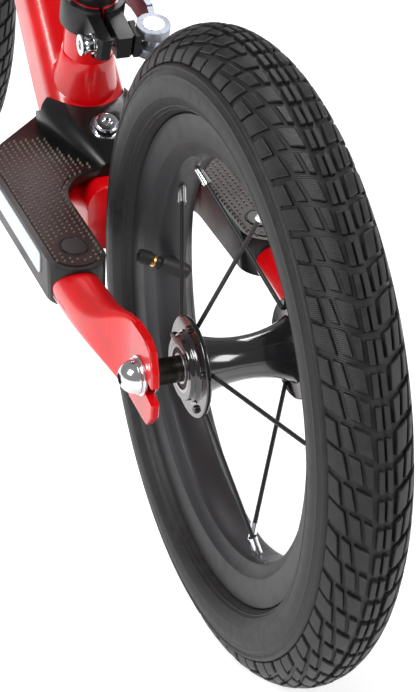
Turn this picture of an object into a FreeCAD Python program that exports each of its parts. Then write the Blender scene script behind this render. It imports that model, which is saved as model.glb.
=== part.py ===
"""Twelve-inch balance bike as a parametric document, in millimetres.

Frame of the model: +X forward, +Y to the rider's left, +Z up.  The origin is on the ground,
half way between the two axles.
"""
import FreeCAD
import Part
import math
import os
from FreeCAD import Placement, Rotation, Vector

import Sketcher

doc = FreeCAD.newDocument("balance_bike")

# ---------------------------------------------------------------- driving dimensions
DIMENSIONS = {
    "wheelbase": 540, "tyre_radius": 146, "tyre_half_width": 21, "tread_half_width": 18.2,
    "tread_drop": 15.5, "casing": 3.2, "tube_wall": 1.2, "bead_radius": 102.2,
    "rim_radius": 108.8, "rim_half_width": 12.8, "rim_face_radius": 96.3,
    "rim_crown_radius": 89.5, "rim_wall": 3,
    "flange_radius": 22.7, "flange_face": 25.3, "flange_thickness": 2.3,
    "hub_waist_radius": 9.8, "hub_end": 29.5, "hub_end_radius": 15.2,
    "bearing_radius": 11, "bearing_width": 6, "axle_radius": 5, "running": 0.04, "valve_radius": 3.85,
    "spacer_radius": 5.9, "dropout_face": 43.5, "dropout_thickness": 4, "washer_radius": 9,
    "washer_thickness": 1.2, "bolt_head_radius": 7.6, "bolt_head_height": 8.6, "bolt_radius": 3,
    "hex_socket": 5, "spoke_radius": 1, "spoke_circle": 18.7, "pair_count": 5,
    "pair_first_angle": 36.5, "nipple_offset": 5.5, "flange_hole_offset": 20.5,
    "nipple_radius": 2, "nipple_length": 9,
    "seat_tube_radius": 12.7, "post_radius": 11.1, "sliding": 0.06, "seat_tube_top": 85,
    "seat_tube_bottom": -12, "seat_tube_lean": 14.7, "seat_axis_x": 228, "seat_axis_z": 15,
    "collar_radius": 16, "collar_height": 16, "ear_reach": 35, "ear_half_gap": 1.6,
    "ear_height": 12, "clamp_bolt_reach": 28.5, "pivot_reach": 11.1, "cam_radius": 8.5,
    "lever_pin_radius": 5.2,
    "head_angle": 70, "fork_offset": 18, "head_tube_radius": 18, "head_tube_bore": 15.5,
    "head_tube_low": 184, "head_tube_length": 92, "steerer_radius": 12.7,
    "steerer_top": 310, "crown_low": 162, "crown_height": 14, "cup_radius": 20.5,
    "cup_height": 5, "cup_gap": 0.4,
    "footrest_top": 11, "footrest_plate": 2.2, "footrest_inner": 34, "footrest_outer": 62,
    "footrest_rear": 89, "footrest_skirt": 20, "footrest_wall": 2.4,
    "stay_radius": 11.1, "stay_wall": 1.6,
    "bar_radius": 11.1, "bar_half_width": 186, "bar_rise": 52, "bar_height": 374,
    "grip_radius": 15.5, "grip_length": 86,
    "saddle_height": 166, "saddle_length": 232, "saddle_width": 132,
}

sheet = doc.addObject("Spreadsheet::Sheet", "dims")
for row, (alias, number) in enumerate(DIMENSIONS.items(), start=1):
    sheet.set(f"A{row}", alias)
    sheet.set(f"B{row}", str(number))
    sheet.setAlias(f"B{row}", alias)
doc.recompute()

parts = []          # every sub-part, in the order it is made


def worth(expression):
    """What an expression on the sheet comes to now, as a plain number."""
    result = sheet.evalExpression(str(expression))
    return float(getattr(result, "Value", result))


def dim(alias):
    return worth(f"dims.{alias}")


def keep(item, label, placement=None):
    """Name a finished sub-part and put it in its place."""
    item.Label = label
    if placement is not None:
        item.Placement = placement
    parts.append(item)
    return item


def placed(at, along=Vector(0, 0, 1), spin=0):
    """A place whose own Z axis points along the given direction."""
    return Placement(at, Rotation(Vector(0, 0, 1), along) * Rotation(Vector(0, 0, 1), spin))


# ---------------------------------------------------------------- sketch helpers
def origin_plane(body, role):
    return next(f for f in body.Origin.OriginFeatures if f.Role == role)


def new_sketch(body, role, offset=None):
    sketch = body.newObject("Sketcher::SketchObject", "Sketch")
    sketch.AttachmentSupport = [(origin_plane(body, role), "")]
    sketch.MapMode = "FlatFace"
    if offset is not None:
        sketch.setExpression(".AttachmentOffset.Base.z", str(offset))
    return sketch


def bind_point(sketch, curve, end, across, up):
    """Tie one end of a curve to two expressions measured from the sketch's origin."""
    for kind, expression in (("DistanceX", across), ("DistanceY", up)):
        index = sketch.addConstraint(
            Sketcher.Constraint(kind, -1, 1, curve, end, worth(expression)))
        sketch.setExpression(f"Constraints[{index}]", str(expression))


def outline(sketch, steps):
    """Closed outline through (across, up) expression pairs.

    A step with two more expressions is reached by an arc through that middle point.
    """
    spots = [Vector(worth(step[0]), worth(step[1]), 0) for step in steps]
    curves, far_ends = [], []
    for index, step in enumerate(steps):
        start, end = spots[index - 1], spots[index]
        if len(step) == 2:
            curves.append(sketch.addGeometry(Part.LineSegment(start, end), False))
            far_ends.append(2)
            continue
        middle = Vector(worth(step[2]), worth(step[3]), 0)
        curve = sketch.addGeometry(Part.Arc(start, middle, end), False)
        through = sketch.addGeometry(Part.Point(middle), True)
        bind_point(sketch, through, 1, step[2], step[3])
        sketch.addConstraint(Sketcher.Constraint("PointOnObject", through, 1, curve))
        curves.append(curve)
        far_ends.append(2 if (sketch.getPoint(curve, 2) - end).Length < 1e-6 else 1)
    for index, curve in enumerate(curves):
        following = (index + 1) % len(curves)
        near_end = 3 - far_ends[following]
        sketch.addConstraint(Sketcher.Constraint(
            "Coincident", curve, far_ends[index], curves[following], near_end))
        bind_point(sketch, curve, far_ends[index], steps[index][0], steps[index][1])
    return sketch


def circles(sketch, *rings):
    """Circles given as (across, up, radius) expressions."""
    for across, up, radius in rings:
        centre = Vector(worth(across), worth(up), 0)
        curve = sketch.addGeometry(
            Part.Circle(centre, Vector(0, 0, 1), worth(radius)), False)
        bind_point(sketch, curve, 3, across, up)
        at = sketch.addConstraint(Sketcher.Constraint("Radius", curve, worth(radius)))
        sketch.setExpression(f"Constraints[{at}]", str(radius))
    return sketch


def turned(label, steps, placement):
    """Body turned about its own Y axis from a (lateral, radius) outline."""
    body = doc.addObject("PartDesign::Body", label)
    sketch = outline(new_sketch(body, "YZ_Plane"), steps)
    turn = body.newObject("PartDesign::Revolution", "Turned")
    turn.Profile = sketch
    turn.ReferenceAxis = (sketch, ["H_Axis"])
    turn.Angle = 360
    sketch.Visibility = False
    return keep(body, label, placement)


def padded(body, sketch, length, both_ways=False, reverse=False):
    pad = body.newObject("PartDesign::Pad", "Pad")
    pad.Profile = sketch
    pad.setExpression("Length", str(length))
    pad.Midplane = both_ways
    pad.Reversed = reverse
    return pad


def pocketed(body, sketch, length, both_ways=False, reverse=False):
    pocket = body.newObject("PartDesign::Pocket", "Pocket")
    pocket.Profile = sketch
    pocket.setExpression("Length", str(length))
    pocket.Midplane = both_ways
    pocket.Reversed = reverse
    return pocket


def ring(label, outer, inner, length, placement):
    """Tube or washer along its own Z axis, centred on its own origin."""
    body = doc.addObject("PartDesign::Body", label)
    sketch = circles(new_sketch(body, "XY_Plane"), (0, 0, outer), (0, 0, inner))
    padded(body, sketch, length, both_ways=True)
    return keep(body, label, placement)


# ---------------------------------------------------------------- solid helpers
def rod(start, end, radius):
    along = end - start
    return Part.makeCylinder(radius, along.Length, start, along)


def feature(label, shape, placement=None):
    item = doc.addObject("Part::Feature", label)
    item.Shape = shape
    return keep(item, label, placement)


def joined(solids):
    """One shape from several solids that stay separate, such as a set of bolts."""
    return Part.makeCompound(solids)


def fused(first, *others):
    shape = first.fuse(list(others)).removeSplitter()
    return shape.Solids[0] if len(shape.Solids) == 1 else shape


def oval(centre, along, width, height, corner):
    """Wire of a rounded rectangle: width runs sideways, height square to it and to the path."""
    ahead = Vector(along).normalize()
    side = Vector(0, 0, 1).cross(ahead).normalize()
    up = ahead.cross(side)
    half_w, half_h = width / 2, height / 2
    corner = min(corner, half_w - 0.2, half_h - 0.2)
    cut = corner * (1 - math.sqrt(0.5))

    def spot(across, rise):
        return centre + side * across + up * rise

    edges = []
    for sign_w, sign_h in ((1, 1), (-1, 1), (-1, -1), (1, -1)):
        flat = spot(sign_w * half_w, sign_h * (half_h - corner))
        mid = spot(sign_w * (half_w - cut), sign_h * (half_h - cut))
        top = spot(sign_w * (half_w - corner), sign_h * half_h)
        arc = (flat, mid, top) if sign_w * sign_h > 0 else (top, mid, flat)
        edges.append(arc)
    wire = []
    for index, arc in enumerate(edges):
        wire.append(Part.Arc(*arc).toShape())
        wire.append(Part.makeLine(arc[2], edges[(index + 1) % 4][0]))
    return Part.Wire(wire)


def loft(sections):
    return Part.makeLoft([oval(*section) for section in sections], True, False)


def mirrored(shape):
    return shape.mirror(Vector(0, 0, 0), Vector(0, 1, 0))


def bent_rod(points, bend, radius):
    """Round bar along straight runs that are joined by tangent arcs."""
    edges = []
    last = points[0]
    for before, corner, after in zip(points, points[1:], points[2:]):
        into, out = (corner - before).normalize(), (after - corner).normalize()
        half_turn = into.getAngle(out) / 2
        setback = bend * math.tan(half_turn)
        start, end = corner - into * setback, corner + out * setback
        inward = (out - into).normalize()
        middle = corner + inward * (bend / math.cos(half_turn) - bend)
        edges.append(Part.makeLine(last, start))
        edges.append(Part.Arc(start, middle, end).toShape())
        last = end
    edges.append(Part.makeLine(last, points[-1]))
    path = Part.Wire(edges)
    profile = Part.Wire(Part.makeCircle(radius, points[0], points[1] - points[0]))
    return path.makePipeShell([profile], True, True)


# ---------------------------------------------------------------- places
GROUND_TO_AXLE = dim("tyre_radius")
HALF_BASE = dim("wheelbase") / 2
REAR = Placement(Vector(-HALF_BASE, 0, GROUND_TO_AXLE), Rotation())
FRONT = Placement(Vector(HALF_BASE, 0, GROUND_TO_AXLE), Rotation())
LEFT, UP = Vector(0, 1, 0), Vector(0, 0, 1)

LEAN = math.radians(dim("seat_tube_lean"))
SEAT_UP = Vector(-math.sin(LEAN), 0, math.cos(LEAN))
SEAT_BACK = Vector(-math.cos(LEAN), 0, -math.sin(LEAN))

HEAD = math.radians(dim("head_angle"))
STEER_UP = Vector(-math.cos(HEAD), 0, math.sin(HEAD))
STEER_AHEAD = Vector(math.sin(HEAD), 0, math.cos(HEAD))
STEER_FOOT = Vector(dim("wheelbase"), 0, 0) - STEER_AHEAD * dim("fork_offset")


def on_seat_axis(height):
    """Point on the seat tube's centre line, at a height above the axles."""
    return (Vector(dim("seat_axis_x"), 0, dim("seat_axis_z"))
            + SEAT_UP * ((height - dim("seat_axis_z")) / math.cos(LEAN)))


def on_steer_axis(distance):
    """Point on the steering axis, at a distance from its foot beside the front axle."""
    return STEER_FOOT + STEER_UP * distance


def from_rear(point, along=UP, spin=0):
    return REAR.multiply(placed(point, along, spin))


# ---------------------------------------------------------------- wheels
def wheel(end, place):
    """Tyre, tube, rim, hub, spokes, nipples, bearings and valve of one wheel."""
    tread, side = "dims.tread_half_width", "dims.tyre_half_width"
    top, bead, rim = "dims.tyre_radius", "dims.bead_radius", "dims.rim_radius"
    shoulder, belly, wall = f"{top}-dims.tread_drop", f"{top}-24", "dims.casing"
    seat = "dims.rim_half_width"
    outer_half = [(tread, shoulder), (side, belly, f"{side}-0.6", f"{belly}+5"),
                  (seat, f"{rim}+0.6", f"{side}-2.6", f"{belly}-7.5"),
                  (f"{seat}-2.4", f"{rim}+0.4"), (f"{seat}-2.4", bead), (f"{seat}-5", bead)]
    inner_half = [(f"{seat}-4.4", f"{rim}+1"), (f"{side}-{wall}", belly,
                  f"{side}-{wall}-2.2", f"{belly}-7"),
                  (f"{tread}-2.4", f"{shoulder}-1.6", f"{side}-{wall}-0.5", f"{belly}+4")]
    mirror_inner = [(f"-({inner_half[2][0]})", inner_half[2][1], 0, f"{top}-{wall}*1.8"),
                    (f"-({inner_half[1][0]})", belly, f"-({inner_half[2][2]})", f"{belly}+4"),
                    (f"-({inner_half[0][0]})", inner_half[0][1],
                     f"-({inner_half[1][2]})", f"{belly}-7")]
    mirror_outer = [(f"-({seat}-5)", bead), (f"-({seat}-2.4)", bead),
                    (f"-({seat}-2.4)", f"{rim}+0.4"), (f"-({seat})", f"{rim}+0.6"),
                    (f"-({side})", belly, f"-({side}-2.6)", f"{belly}-7.5"),
                    (f"-({tread})", shoulder, f"-({side}-0.6)", f"{belly}+5")]
    crown = (tread, shoulder, 0, top)
    turned(f"{end}_tyre", [crown] + outer_half[1:] + inner_half + mirror_inner + mirror_outer,
           place)

    def tube_outline(skin):
        low, neck, mid, high = f"{bead}-2.5+{skin}", f"{rim}+1", f"{rim}+8", f"{top}-22"
        return [(f"-6.5+{skin}", low), (f"-7.1+{skin}", neck), (f"-12+{skin}", mid),
                (f"-12+{skin}", high, f"-14+{skin}", f"{rim}+11.5"),
                (f"12-{skin}", high, 0, f"{top}-9-{skin}"),
                (f"12-{skin}", mid, f"14-{skin}", f"{rim}+11.5"),
                (f"7.1-{skin}", neck), (f"6.5-{skin}", low)]

    tube = turned(f"{end}_inner_tube", tube_outline(0), place)
    cavity = outline(new_sketch(tube, "YZ_Plane"), tube_outline("dims.tube_wall"))
    groove = tube.newObject("PartDesign::Groove", "Cavity")
    groove.Profile = cavity
    groove.ReferenceAxis = (cavity, ["H_Axis"])
    groove.Angle = 360
    valve_hole = circles(new_sketch(tube, "YZ_Plane", "90"), (0, -1, 2))
    pocketed(tube, valve_hole, "16", reverse=True)
    face, inner = "dims.rim_face_radius", "dims.rim_crown_radius"
    well = f"{inner}+dims.rim_wall"
    half = [
        (seat, rim), (f"{seat}-2.1", rim), (f"{seat}-2.1", f"{bead}-0.3"),
        (9, f"{bead}-0.7"), (7, f"{well}+0.8"), (5.5, well),
    ]
    back = [
        (4.5, inner), (7.6, f"{inner}+1"), (8.6, f"{inner}+4"), (f"{seat}-1.9", f"{face}-0.6"),
        (f"{seat}-1.2", face),
    ]
    turned(f"{end}_rim", half + [(f"-({a})", b) for a, b in reversed(half)]
           + [(f"-({a})", b) for a, b in reversed(back)] + back, place)

    flange, thick = "dims.flange_face", "dims.flange_thickness"
    hub_half = [
        ("dims.hub_end", "dims.bearing_radius"),
        ("dims.hub_end", "dims.hub_end_radius-1.2"),
        (f"{flange}+2.2", "dims.hub_end_radius-0.6"),
        (f"{flange}+2.2", "dims.hub_end_radius"), (f"{flange}+0.6", "dims.hub_end_radius+0.6"),
        (flange, "dims.hub_end_radius+1.4"), (flange, "dims.flange_radius-0.4"),
        (f"{flange}-0.4", "dims.flange_radius"),
        (f"{flange}-{thick}+0.4", "dims.flange_radius"),
        (f"{flange}-{thick}", "dims.flange_radius-0.4"),
        (f"{flange}-{thick}", "dims.hub_end_radius"),
        (f"{flange}-{thick}-1.4", "dims.hub_end_radius-1"),
    ]
    far = [(f"-({a})", b) for a, b in reversed(hub_half)]
    far[0] = far[0] + (0, "dims.hub_waist_radius")
    bore = "dims.axle_radius+1.5"
    pocket = "dims.hub_end-dims.bearing_width"
    body = turned(f"{end}_hub", hub_half + far + [
        (f"-({pocket})", "dims.bearing_radius"), (f"-({pocket})", bore),
        (pocket, bore), (pocket, "dims.bearing_radius")], place)
    for side, name in ((1, "left"), (-1, "right")):
        angle = f"(dims.pair_first_angle-{side}*dims.flange_hole_offset)"
        sketch = new_sketch(body, "XZ_Plane", f"{-side}*(dims.flange_face+1)")
        circles(sketch, (f"dims.spoke_circle*cos({angle}*1deg)",
                         f"dims.spoke_circle*sin({angle}*1deg)", "dims.spoke_radius+0.25"))
        hole = pocketed(body, sketch, f"{thick}+2", reverse=side > 0)
        pattern = body.newObject("PartDesign::PolarPattern", f"Holes_{name}")
        pattern.Originals = [hole]
        pattern.Axis = (sketch, ["N_Axis"])
        pattern.Angle = 360
        pattern.setExpression("Occurrences", "dims.pair_count")
        body.Tip = pattern

    bearing_outer, bearing_inner = dim("bearing_radius"), dim("axle_radius") + dim("running")
    bearings = []
    for side in (1, -1):
        middle = side * (dim("hub_end") - dim("bearing_width") / 2)
        face_out = middle + side * dim("bearing_width") / 2
        block = rod(Vector(0, middle - 3, 0), Vector(0, middle + 3, 0), bearing_outer)
        block = block.cut(rod(Vector(0, middle - 4, 0), Vector(0, middle + 4, 0), bearing_inner))
        seal = rod(Vector(0, face_out - side * 0.5, 0), Vector(0, face_out + side, 0), 9.4)
        seal = seal.cut(rod(Vector(0, face_out - side, 0), Vector(0, face_out + side, 0), 6.9))
        bearings.append(block.cut(seal))
    feature(f"{end}_bearings", joined(bearings), place)

    spokes, nipples = [], []
    wire = dim("spoke_radius")
    for pair in range(int(dim("pair_count"))):
        middle = dim("pair_first_angle") + pair * 360 / dim("pair_count")
        for side in (1, -1):
            hole_angle = math.radians(middle - side * dim("flange_hole_offset"))
            rim_angle = math.radians(middle - side * dim("nipple_offset"))
            out = Vector(math.cos(hole_angle), 0, math.sin(hole_angle))
            face_y = side * dim("flange_face")
            head = out * dim("spoke_circle") + Vector(0, face_y, 0)
            elbow = head - Vector(0, side * (dim("flange_thickness") + wire), 0)
            radial = Vector(math.cos(rim_angle), 0, math.sin(rim_angle))
            crown_point = radial * dim("rim_crown_radius") + Vector(0, side * 1.5, 0)
            pull = (crown_point - elbow).normalize()
            tip = crown_point - pull * dim("nipple_length")
            shank = rod(elbow, tip + pull * 1, wire)
            cap = Part.makeSphere(wire * 1.9, head + Vector(0, side * 0.2, 0))
            keep_side = rod(head, head + Vector(0, side * 1.4, 0), 3)
            spoke = fused(shank, Part.makeSphere(wire, elbow), rod(elbow, head, wire),
                          cap.common(keep_side))
            spokes.append(spoke)
            barrel = rod(tip, crown_point - pull * 0.6, dim("nipple_radius") * 0.92)
            shoulder_ring = rod(tip, tip + pull * 1.6, dim("nipple_radius"))
            nipple = barrel.fuse(shoulder_ring).removeSplitter()
            nipple = nipple.cut(rod(tip - pull, tip + pull * 1.001, wire + 0.02))
            nipples.append(nipple.Solids[0])
    feature(f"{end}_spokes", joined(spokes), place)
    feature(f"{end}_nipples", joined(nipples), place)

    base = Vector(dim("rim_crown_radius") - 0.6, 0, -1)
    knee = Vector(79, -2.2, -0.6)
    tip = Vector(81, 13.5, 7)
    lean = (tip - knee).normalize()
    valve = fused(rod(base, knee, 2.8), Part.makeSphere(3.6, knee),
                  rod(knee, knee + lean * 13, dim("valve_radius")), rod(knee, tip, 2.4))
    feature(f"{end}_valve", valve, place)


wheel("rear", REAR)
wheel("front", FRONT)


def axle_set(end, place):
    """Axle rod, spacers, washers and dome bolts that hold one wheel between its dropouts."""
    face = dim("dropout_face")
    thin = dim("washer_thickness")
    plate_out = face + dim("dropout_thickness")
    inner_end = dim("hub_end")
    axle = rod(Vector(0, -face + 0.1, 0), Vector(0, face - 0.1, 0), dim("axle_radius"))
    for side in (1, -1):
        axle = axle.cut(rod(Vector(0, side * face, 0), Vector(0, side * (face - 16), 0),
                            dim("bolt_radius")))
    feature(f"{end}_axle", axle, place)
    for_spacers, for_washers, bolts = [], [], []
    for side in (1, -1):
        start = Vector(0, side * (inner_end + 0.15), 0)
        end_at = Vector(0, side * (face - thin), 0)
        spacer = rod(start, end_at, dim("spacer_radius"))
        for_spacers.append(spacer.cut(rod(start - LEFT * side, end_at + LEFT * side,
                                          dim("axle_radius"))))
        for low, hole in ((face - thin, dim("axle_radius")), (plate_out, dim("bolt_radius"))):
            a, b = Vector(0, side * low, 0), Vector(0, side * (low + thin), 0)
            washer = rod(a, b, dim("washer_radius"))
            for_washers.append(washer.cut(rod(a - LEFT * side, b + LEFT * side, hole)))
        seat = plate_out + thin
        shank = rod(Vector(0, side * (face - 15), 0), Vector(0, side * seat, 0),
                    dim("bolt_radius"))
        base = Vector(0, side * seat, 0)
        flange = rod(base, base + LEFT * side * 1.6, dim("bolt_head_radius") + 0.4)
        ball = Part.makeSphere(dim("bolt_head_radius"), Vector(0, side * (seat + 1.2), 0))
        dome = ball.common(rod(base, base + LEFT * side * dim("bolt_head_height"),
                               dim("bolt_head_radius") + 1))
        tip = Vector(0, side * (seat + dim("bolt_head_height")), 0)
        across = dim("hex_socket") / math.sqrt(3)
        corners = [Vector(across * math.cos(k * math.pi / 3), 0,
                          across * math.sin(k * math.pi / 3)) + tip for k in range(7)]
        socket = Part.Face(Part.makePolygon(corners)).extrude(LEFT * side * -4)
        bolts.append(fused(shank, flange, dome).cut(socket))
    feature(f"{end}_axle_spacers", joined(for_spacers), place)
    feature(f"{end}_axle_washers", joined(for_washers), place)
    feature(f"{end}_axle_bolts", joined(bolts), place)


axle_set("rear", REAR)
axle_set("front", FRONT)

# ---------------------------------------------------------------- frame
# centre line of the main tube from the rear axle: x, z, slope in degrees, width, height
MAIN_STATIONS = [
    (146, -9, 0, 38, 31), (184, -8, 10, 41, 34), (221, 13, 38, 41, 36),
    (262, 49, 42, 40, 36), (345, 120, 39, 37, 37), (447, 198, 35, 34, 40),
]
TUBE_CORNER = 10


def main_loft(grow):
    sections = []
    for x, z, slope, width, height in MAIN_STATIONS:
        tilt = math.radians(slope)
        sections.append((Vector(x, 0, z), Vector(math.cos(tilt), 0, math.sin(tilt)),
                         width + 2 * grow, height + 2 * grow, TUBE_CORNER + grow))
    return loft(sections)


seat_low, seat_high = on_seat_axis(dim("seat_tube_bottom")), on_seat_axis(dim("seat_tube_top"))
seat_outer = rod(seat_low, seat_high, dim("seat_tube_radius"))
head_low = on_steer_axis(dim("head_tube_low"))
head_high = on_steer_axis(dim("head_tube_low") + dim("head_tube_length"))
head_outer = rod(head_low - STEER_UP * 30, head_high + STEER_UP * 30, dim("head_tube_radius"))

TYRE_GAP = 10
TYRE_SIDE_GAP = 6
room_half = dim("tyre_half_width") + TYRE_SIDE_GAP


def tyre_room(gap):
    """Space that the frame leaves around the rear tyre."""
    return Part.makeCylinder(dim("tyre_radius") + gap, 2 * room_half,
                             Vector(0, -room_half, 0), LEFT)


wheel_room = tyre_room(TYRE_GAP)
main_outer = main_loft(0)
BOSS_RADIUS = 20.5
boss_low, flare_low, flare_high = on_seat_axis(-8), on_seat_axis(14), on_seat_axis(52)
flare = Part.makeCone(BOSS_RADIUS, dim("seat_tube_radius") + 0.5,
                      (flare_high - flare_low).Length, flare_low, SEAT_UP)
seat_boss = fused(rod(boss_low, flare_low, BOSS_RADIUS), flare)
main_solid = main_outer.fuse(seat_boss).removeSplitter()
hollow = main_loft(-2).cut(tyre_room(TYRE_GAP + 3))
main_tube = main_solid.cut([wheel_room, hollow, seat_outer, head_outer])
main_tube = max(main_tube.Solids, key=lambda solid: solid.Volume)
feature("main_tube", main_tube, REAR)


def stay_sections(grow):
    """Sections of the left chain stay, from the yoke to the flattened rear end."""
    radius = dim("stay_radius")
    plate_y = dim("dropout_face") + dim("dropout_thickness") / 2
    stations = [
        # x, y, z, half width, half height
        (202, 8, -7, radius, radius + 2), (190, 27, -6.5, radius, radius + 1.5),
        (171, 40, -5, radius, radius + 0.5), (150, 46.5, -3.6, radius, radius),
        (120, 48.6, -2.8, radius, radius), (88, 49.5, -2.6, radius, radius),
        (62, 49.6, -1.6, radius, radius), (44, 48.6, -0.8, radius * 0.85, radius * 1.12),
        (28, 46.8, -0.3, radius * 0.42, radius * 1.5), (15, plate_y, 0, 2.1, radius * 1.78),
        (11, plate_y, 0, 2.0, radius * 1.8),
    ]
    spots = [Vector(*station[:3]) for station in stations]
    sections = []
    for index, (x, y, z, half_w, half_h) in enumerate(stations):
        before, after = spots[max(index - 1, 0)], spots[min(index + 1, len(spots) - 1)]
        half_w, half_h = half_w + grow, half_h + grow
        sections.append((spots[index], after - before, 2 * half_w, 2 * half_h,
                         min(half_w, half_h)))
    return sections


def dropout_plate(slot_turn):
    """Left dropout: a flat plate with a slot that opens to the rear and a little down."""
    face, thick = dim("dropout_face"), dim("dropout_thickness")
    rim = [(14, 19.6), (-4, 20), (-10, 17.5), (-13.5, 8), (-14.5, -8), (-14, -14), (-8.5, -20.4),
           (-4, -20.6), (14, -19.6)]
    corners = [Vector(x, face, z) for x, z in rim]
    plate = Part.Face(Part.makePolygon(corners + corners[:1])).extrude(LEFT * thick)
    half_slot = 3.9
    slot = Part.makeBox(40, thick + 2, 2 * half_slot, Vector(-40, face - 1, -half_slot))
    slot = slot.fuse(Part.makeCylinder(half_slot, thick + 2, Vector(0, face - 1, 0), LEFT))
    slot.rotate(Vector(0, 0, 0), LEFT, slot_turn)
    edges = [e for e in plate.Edges if abs(e.Vertexes[0].Y - e.Vertexes[1].Y) < 1e-6
             and e.BoundBox.XMax < 13.9]
    return plate.makeFillet(0.9, edges), slot


stay_outer = loft(stay_sections(0))
stay_hollow = loft(stay_sections(-dim("stay_wall"))[1:8])
plate, slot = dropout_plate(-12)
stay = stay_outer.fuse(plate).removeSplitter().cut([slot, stay_hollow, main_solid, wheel_room])
stay = max(stay.Solids, key=lambda solid: solid.Volume)
feature("chain_stay_left", stay, REAR)
feature("chain_stay_right", mirrored(stay), REAR)

seat_tube = ring("seat_tube", "dims.seat_tube_radius", "dims.post_radius+dims.sliding",
                 f"(dims.seat_tube_top-dims.seat_tube_bottom)/cos(dims.seat_tube_lean*1deg)",
                 from_rear((seat_low + seat_high) * 0.5, SEAT_UP))
slot_sketch = new_sketch(seat_tube, "YZ_Plane", "-14")
half_length = "(dims.seat_tube_top-dims.seat_tube_bottom)/cos(dims.seat_tube_lean*1deg)/2"
outline(slot_sketch, [(-1.2, f"{half_length}+2"), (1.2, f"{half_length}+2"),
                      (1.2, f"{half_length}-27"), (-1.2, f"{half_length}-27")])
pocketed(seat_tube, slot_sketch, "12", reverse=True)
relief = circles(new_sketch(seat_tube, "YZ_Plane", "-14"), (0, f"{half_length}-28", 2.6))
pocketed(seat_tube, relief, "12", reverse=True)

ring("head_tube", "dims.head_tube_radius", "dims.head_tube_bore", "dims.head_tube_length",
     from_rear((head_low + head_high) * 0.5, STEER_UP))


# ---------------------------------------------------------------- headset
def cup(base, way):
    """Headset cup: a flanged ring whose bore runs on the steerer."""
    flange = rod(base, base + way * dim("cup_height"), dim("cup_radius"))
    sleeve = rod(base, base - way * 8, dim("head_tube_bore"))
    bore = rod(base - way * 20, base + way * 20, dim("steerer_radius") + dim("running"))
    cup_body = fused(flange, sleeve)
    rim_edges = [e for e in cup_body.Edges if abs(e.Length - 2 * math.pi * dim("cup_radius")) < 0.01]
    return cup_body.makeFillet(1, rim_edges).cut(bore)


feature("headset_cups", joined([cup(head_high, STEER_UP), cup(head_low, STEER_UP * -1)]), REAR)

# ---------------------------------------------------------------- footrest
TOP, PLATE = dim("footrest_top"), dim("footrest_plate")
INNER, OUTER = dim("footrest_inner"), dim("footrest_outer")
BACK = dim("footrest_rear")
MIDDLE = (INNER + OUTER) / 2


def footrest_outline(shrink, low):
    """Left half of the footrest's top seen from above, moved inwards by shrink."""
    inner, outer = INNER + shrink, OUTER - shrink
    tip = BACK - (OUTER - INNER) / 2 + shrink
    step = shrink

    def at(x, y):
        return Vector(x, y, low)

    edges = [
        Part.makeLine(at(168 + step, 0), at(168 + step, 6)),
        Part.Arc(at(168 + step, 6), at(161 + step * 0.7, 24 + step * 0.7),
                 at(141, inner)).toShape(),
        Part.makeLine(at(141, inner), at(BACK, inner)),
        Part.Arc(at(BACK, inner), at(tip, MIDDLE), at(BACK, outer)).toShape(),
        Part.makeLine(at(BACK, outer), at(176, outer)),
        Part.Arc(at(176, outer), at(194 - step * 0.4, 57.5 - step * 0.9),
                 at(208 - step, 48 - step * 0.7)).toShape(),
        Part.makeLine(at(208 - step, 48 - step * 0.7), at(238 - step, 17)),
        Part.makeLine(at(238 - step, 17), at(238 - step, 0)),
        Part.makeLine(at(238 - step, 0), at(168 + step, 0)),
    ]
    return Part.Face(Part.Wire(edges))


def footrest_block(shrink, low, high):
    half = footrest_outline(shrink, low).extrude(UP * (high - low))
    return half.fuse(mirrored(half)).removeSplitter()


SKIRT_LOW = TOP - dim("footrest_skirt")
shell = footrest_block(0, SKIRT_LOW, TOP)
shell = shell.cut(footrest_block(dim("footrest_wall"), SKIRT_LOW - 1, TOP - PLATE))
# the skirt stops short in front of the tyre and is scooped up under the toe
front_scoop = Part.makeBox(120, 60, 20, Vector(150, -30, TOP - 4.5 - 20))
shell = shell.cut(front_scoop)
for side in (1, -1):
    toe = Part.makeCylinder(60, 60, Vector(246, side * 62 - 30, SKIRT_LOW - 44), LEFT)
    shell = shell.cut(toe)

# hood that climbs over the rear of the main tube, behind the seat tube
hood_stations = [(166, 8, 12.2), (176, 14, 18), (190, 20, 23.5), (206, 24.5, 27.5), (226, 25, 28)]
hood_sections = []
for x, half_w, high in hood_stations:
    hood_sections.append((Vector(x, 0, (high + 4) / 2), Vector(1, 0, 0.001), 2 * half_w, high - 4,
                          min(half_w, (high - 4) / 2) * 0.85))
hood = loft(hood_sections)
slant = Part.makeBox(120, 120, 120, Vector(0, -60, 0))
slant.rotate(Vector(0, 0, 0), LEFT, 27)
slant.translate(Vector(217.5, 0, 21.5))
hood = hood.cut(slant)
wheel_cut = Part.makeCylinder(168, 120, Vector(0, -60, 0), LEFT)
hood = hood.cut(wheel_cut)
for piece in hood.Solids:
    shell = shell.fuse(piece)
bolt_at = Vector(189, 0, 21)
bolt_up = Vector(-0.5, 0, 1).normalize()
recess = rod(bolt_at, bolt_at + bolt_up * 20, 8.6)
bolt_way = rod(bolt_at - bolt_up * 60, bolt_at + bolt_up, 3.1)
room = [main_solid, seat_outer, recess, bolt_way, rod(seat_low, seat_high, 21)]
for side in (0, 1):
    tube = loft(stay_sections(0.25))
    room.append(mirrored(tube) if side else tube)
shell = shell.cut(room)
shell = max(shell.Solids, key=lambda solid: solid.Volume)

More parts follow.
